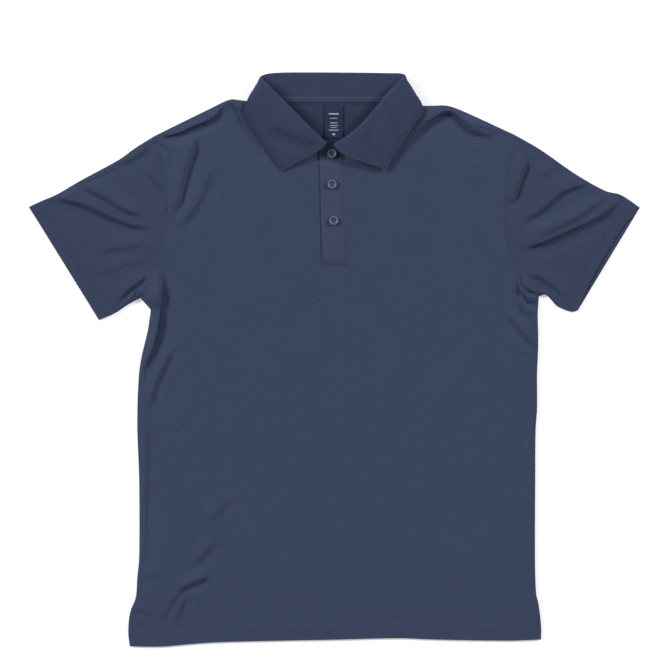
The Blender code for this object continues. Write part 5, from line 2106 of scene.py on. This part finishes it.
@dataclass
class Studio:
    """A pale floor, soft lights and a camera straight above."""

    floor_size: float = 40.0  # metres, as all lengths here
    floor_drop: float = 0.0005  # below the shirt
    floor_colour: str = "#F4F5F7"
    floor_glow: float = 0.36  # it is lit from below as well, like a light table
    world: float = 0.27
    key: float = 1440.0  # watts
    fill: float = 1220.0
    softbox: tuple[float, float] = (3.4, 2.6)
    key_place: tuple[float, float, float] = (-10.0, 4.0, 5.3)
    fill_place: tuple[float, float, float] = (9.6, 4.9, 5.3)
    camera_place: tuple[float, float, float] = (0.0007, 0.0326, 2.5)
    view_end: float = 20.0
    lens: float = 101.0  # millimetres, and the sensor's width too
    sensor: float = 36.0

    def area_light(self, name: str, watts: float, place: tuple[float, float, float]) -> None:
        """Hang a softbox that looks at the shirt.

        Args:
            name: The light's name.
            watts: Its power.
            place: Where it hangs.
        """
        deselect_all()
        bpy.ops.object.light_add(type="AREA", location=place)
        light = bpy.context.object
        light.name = name
        light.rotation_euler = (-Vector(place)).to_track_quat("-Z", "Y").to_euler()
        light.data.shape = "RECTANGLE"
        light.data.size, light.data.size_y = self.softbox
        light.data.energy = watts

    def build(self) -> None:
        """Set the floor, the lights and the camera."""
        deselect_all()
        bpy.ops.mesh.primitive_grid_add(
            x_subdivisions=8, y_subdivisions=8, size=self.floor_size,
            location=(0, 0, -self.floor_drop),
        )
        floor = bpy.context.object
        floor.name = "studio_floor"
        bpy.ops.object.transform_apply(location=True)
        paper = Finish(
            "matt_paper", Base_Color=linear(self.floor_colour), Roughness=1.0,
            Specular_IOR_Level=0.0, Emission_Color=WHITE, Emission_Strength=self.floor_glow,
        )
        floor.data.materials.append(paper.material)

        world = bpy.data.worlds.new("soft_room")
        world.use_nodes = True
        background = world.node_tree.nodes["Background"]
        background.inputs["Color"].default_value = WHITE
        background.inputs["Strength"].default_value = self.world
        bpy.context.scene.world = world

        self.area_light("key", self.key, self.key_place)
        self.area_light("fill", self.fill, self.fill_place)

        deselect_all()
        bpy.ops.object.camera_add(location=self.camera_place, rotation=(0, 0, 0))
        camera = bpy.context.object
        camera.data.lens = self.lens
        camera.data.sensor_width = self.sensor
        camera.data.clip_end = self.view_end
        bpy.context.scene.camera = camera
        bpy.context.scene.view_settings.view_transform = "Standard"


# ---------------------------------------------------------------- the shirt


def hem_rows(
    edge: Array, inside: int, surface: Surface, face: Face, ends: float = 9.0
) -> list[SeamRow]:
    """Rows above a hem or a cuff.

    Args:
        edge: The hem's line.
        inside: 1 if the cloth lies on the line's left, -1 if on its right.
        surface: The cloth.
        face: Which way the rows look.
        ends: How far from the hem's ends the rows stop.

    Returns:
        The rows.
    """
    lines = [trimmed(beside(edge, inside * above), ends) for above in HEM_STITCHES]
    return [SeamRow(line, surface, face) for line in lines]


def main() -> None:
    """Build and dress the shirt, then set the studio round it."""
    logging.basicConfig(level=logging.INFO, format="%(message)s")
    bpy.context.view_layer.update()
    upper = UpperLayer()

    body = Body(upper)
    jersey = JerseyKnit().material()
    # painted shade: a darker copy of the jersey's wrong side, for the inside of the back that shows
    # in the neck
    wrong_side = JerseyKnit("shaded_jersey_wrong_side", "#272F45", "#343F5B", wrong_side=True).material()
    thread = SewingThread().material()
    front = dress(body.front().build(jersey, wrong_side), "jersey", "front")
    back = dress(body.back().build(jersey, wrong_side), "jersey_inside", "back")
    sleeve_inside = JerseyKnit("sleeve_wrong_side", wrong_side=True).material()
    # painted shade: a darker copy of the same jersey for the sleeves
    shaded_sleeve_jersey = JerseyKnit("shaded_sleeve_jersey", "#2D374D", "#3B455F").material()
    sleeves = []
    for cut, side, name in (
        (SLEEVE_RIGHT, BODY_RIGHT, "sleeve_right"), (SLEEVE_LEFT, BODY_LEFT, "sleeve_left"),
    ):
        wall = Sleeve(cut, side, upper).wall(f"{name}_cloth")
        sleeves.append(dress(wall.build(shaded_sleeve_jersey, sleeve_inside), "jersey", name))
    collar = dress(Collar().wall().build(RibKnit().material()), "collar_knit", "collar")

    neck = Neck()
    tape_sheet = neck.tape_wall(Surface(back, collar))
    tape = dress(tape_sheet.build(TwillTape().material()), "tape", "neck_tape")
    label_sheet = neck.label.wall(Surface(back, collar, tape), neck.under_collar)
    label = dress(label_sheet.build(WovenLabel().material()), "label", "label")
    band = Placket()
    # painted light: a lighter copy of the same jersey for the raised, doubled placket band
    smooth = JerseyKnit("lit_placket_jersey", "#333C54", "#3E4962").material()
    placket = dress(band.wall(Surface(front)).build(smooth), "jersey", "placket")
    # painted highlight: a lighter copy of the same resin on each button's rim
    rim = ButtonResin("painted_highlight_button_resin", "#4F596D", "#5D677C", roughness=0.55)
    button_thread = SewingThread("button_thread", "#2B3448", "#3A445B")
    Buttons().build(Surface(placket, front), ButtonResin(), rim, button_thread)

    sewing = Topstitching()
    dark_thread = SewingThread("shaded_thread", "#1C2334", "#2A3347").material()
    hem = plan_of(HEM)
    front_rows = hem_rows(hem, 1, Surface(front), Face.UP, ends=7.0)
    back_rows = hem_rows(hem, 1, Surface(back), Face.DOWN)
    front_stitches = dress(sewing.build("front_stitches", front_rows, thread), "jersey")
    back_stitches = dress(sewing.build("back_stitches", back_rows, thread), "jersey")
    for cut, sleeve, inside, name in (
        (SLEEVE_RIGHT, sleeves[0], 1, "right_cuff_stitches"),
        (SLEEVE_LEFT, sleeves[1], -1, "left_cuff_stitches"),
    ):
        cloth = Surface(sleeve)
        rows = hem_rows(plan_of(cut.cuff_upper), inside, cloth, Face.UP)
        rows += hem_rows(plan_of(cut.cuff), inside, cloth, Face.DOWN)
        dress(sewing.build(name, rows, thread), "jersey")
    on_placket = band.stitching(Surface(placket, front))
    placket_stitches = dress(sewing.build("placket_stitches", on_placket, dark_thread), "jersey")
    on_tape = neck.stitching(Surface(tape))
    tape_stitches = dress(sewing.build("tape_stitches", on_tape, dark_thread), "tape")

    Studio().build()


if __name__ == "__main__":
    main()
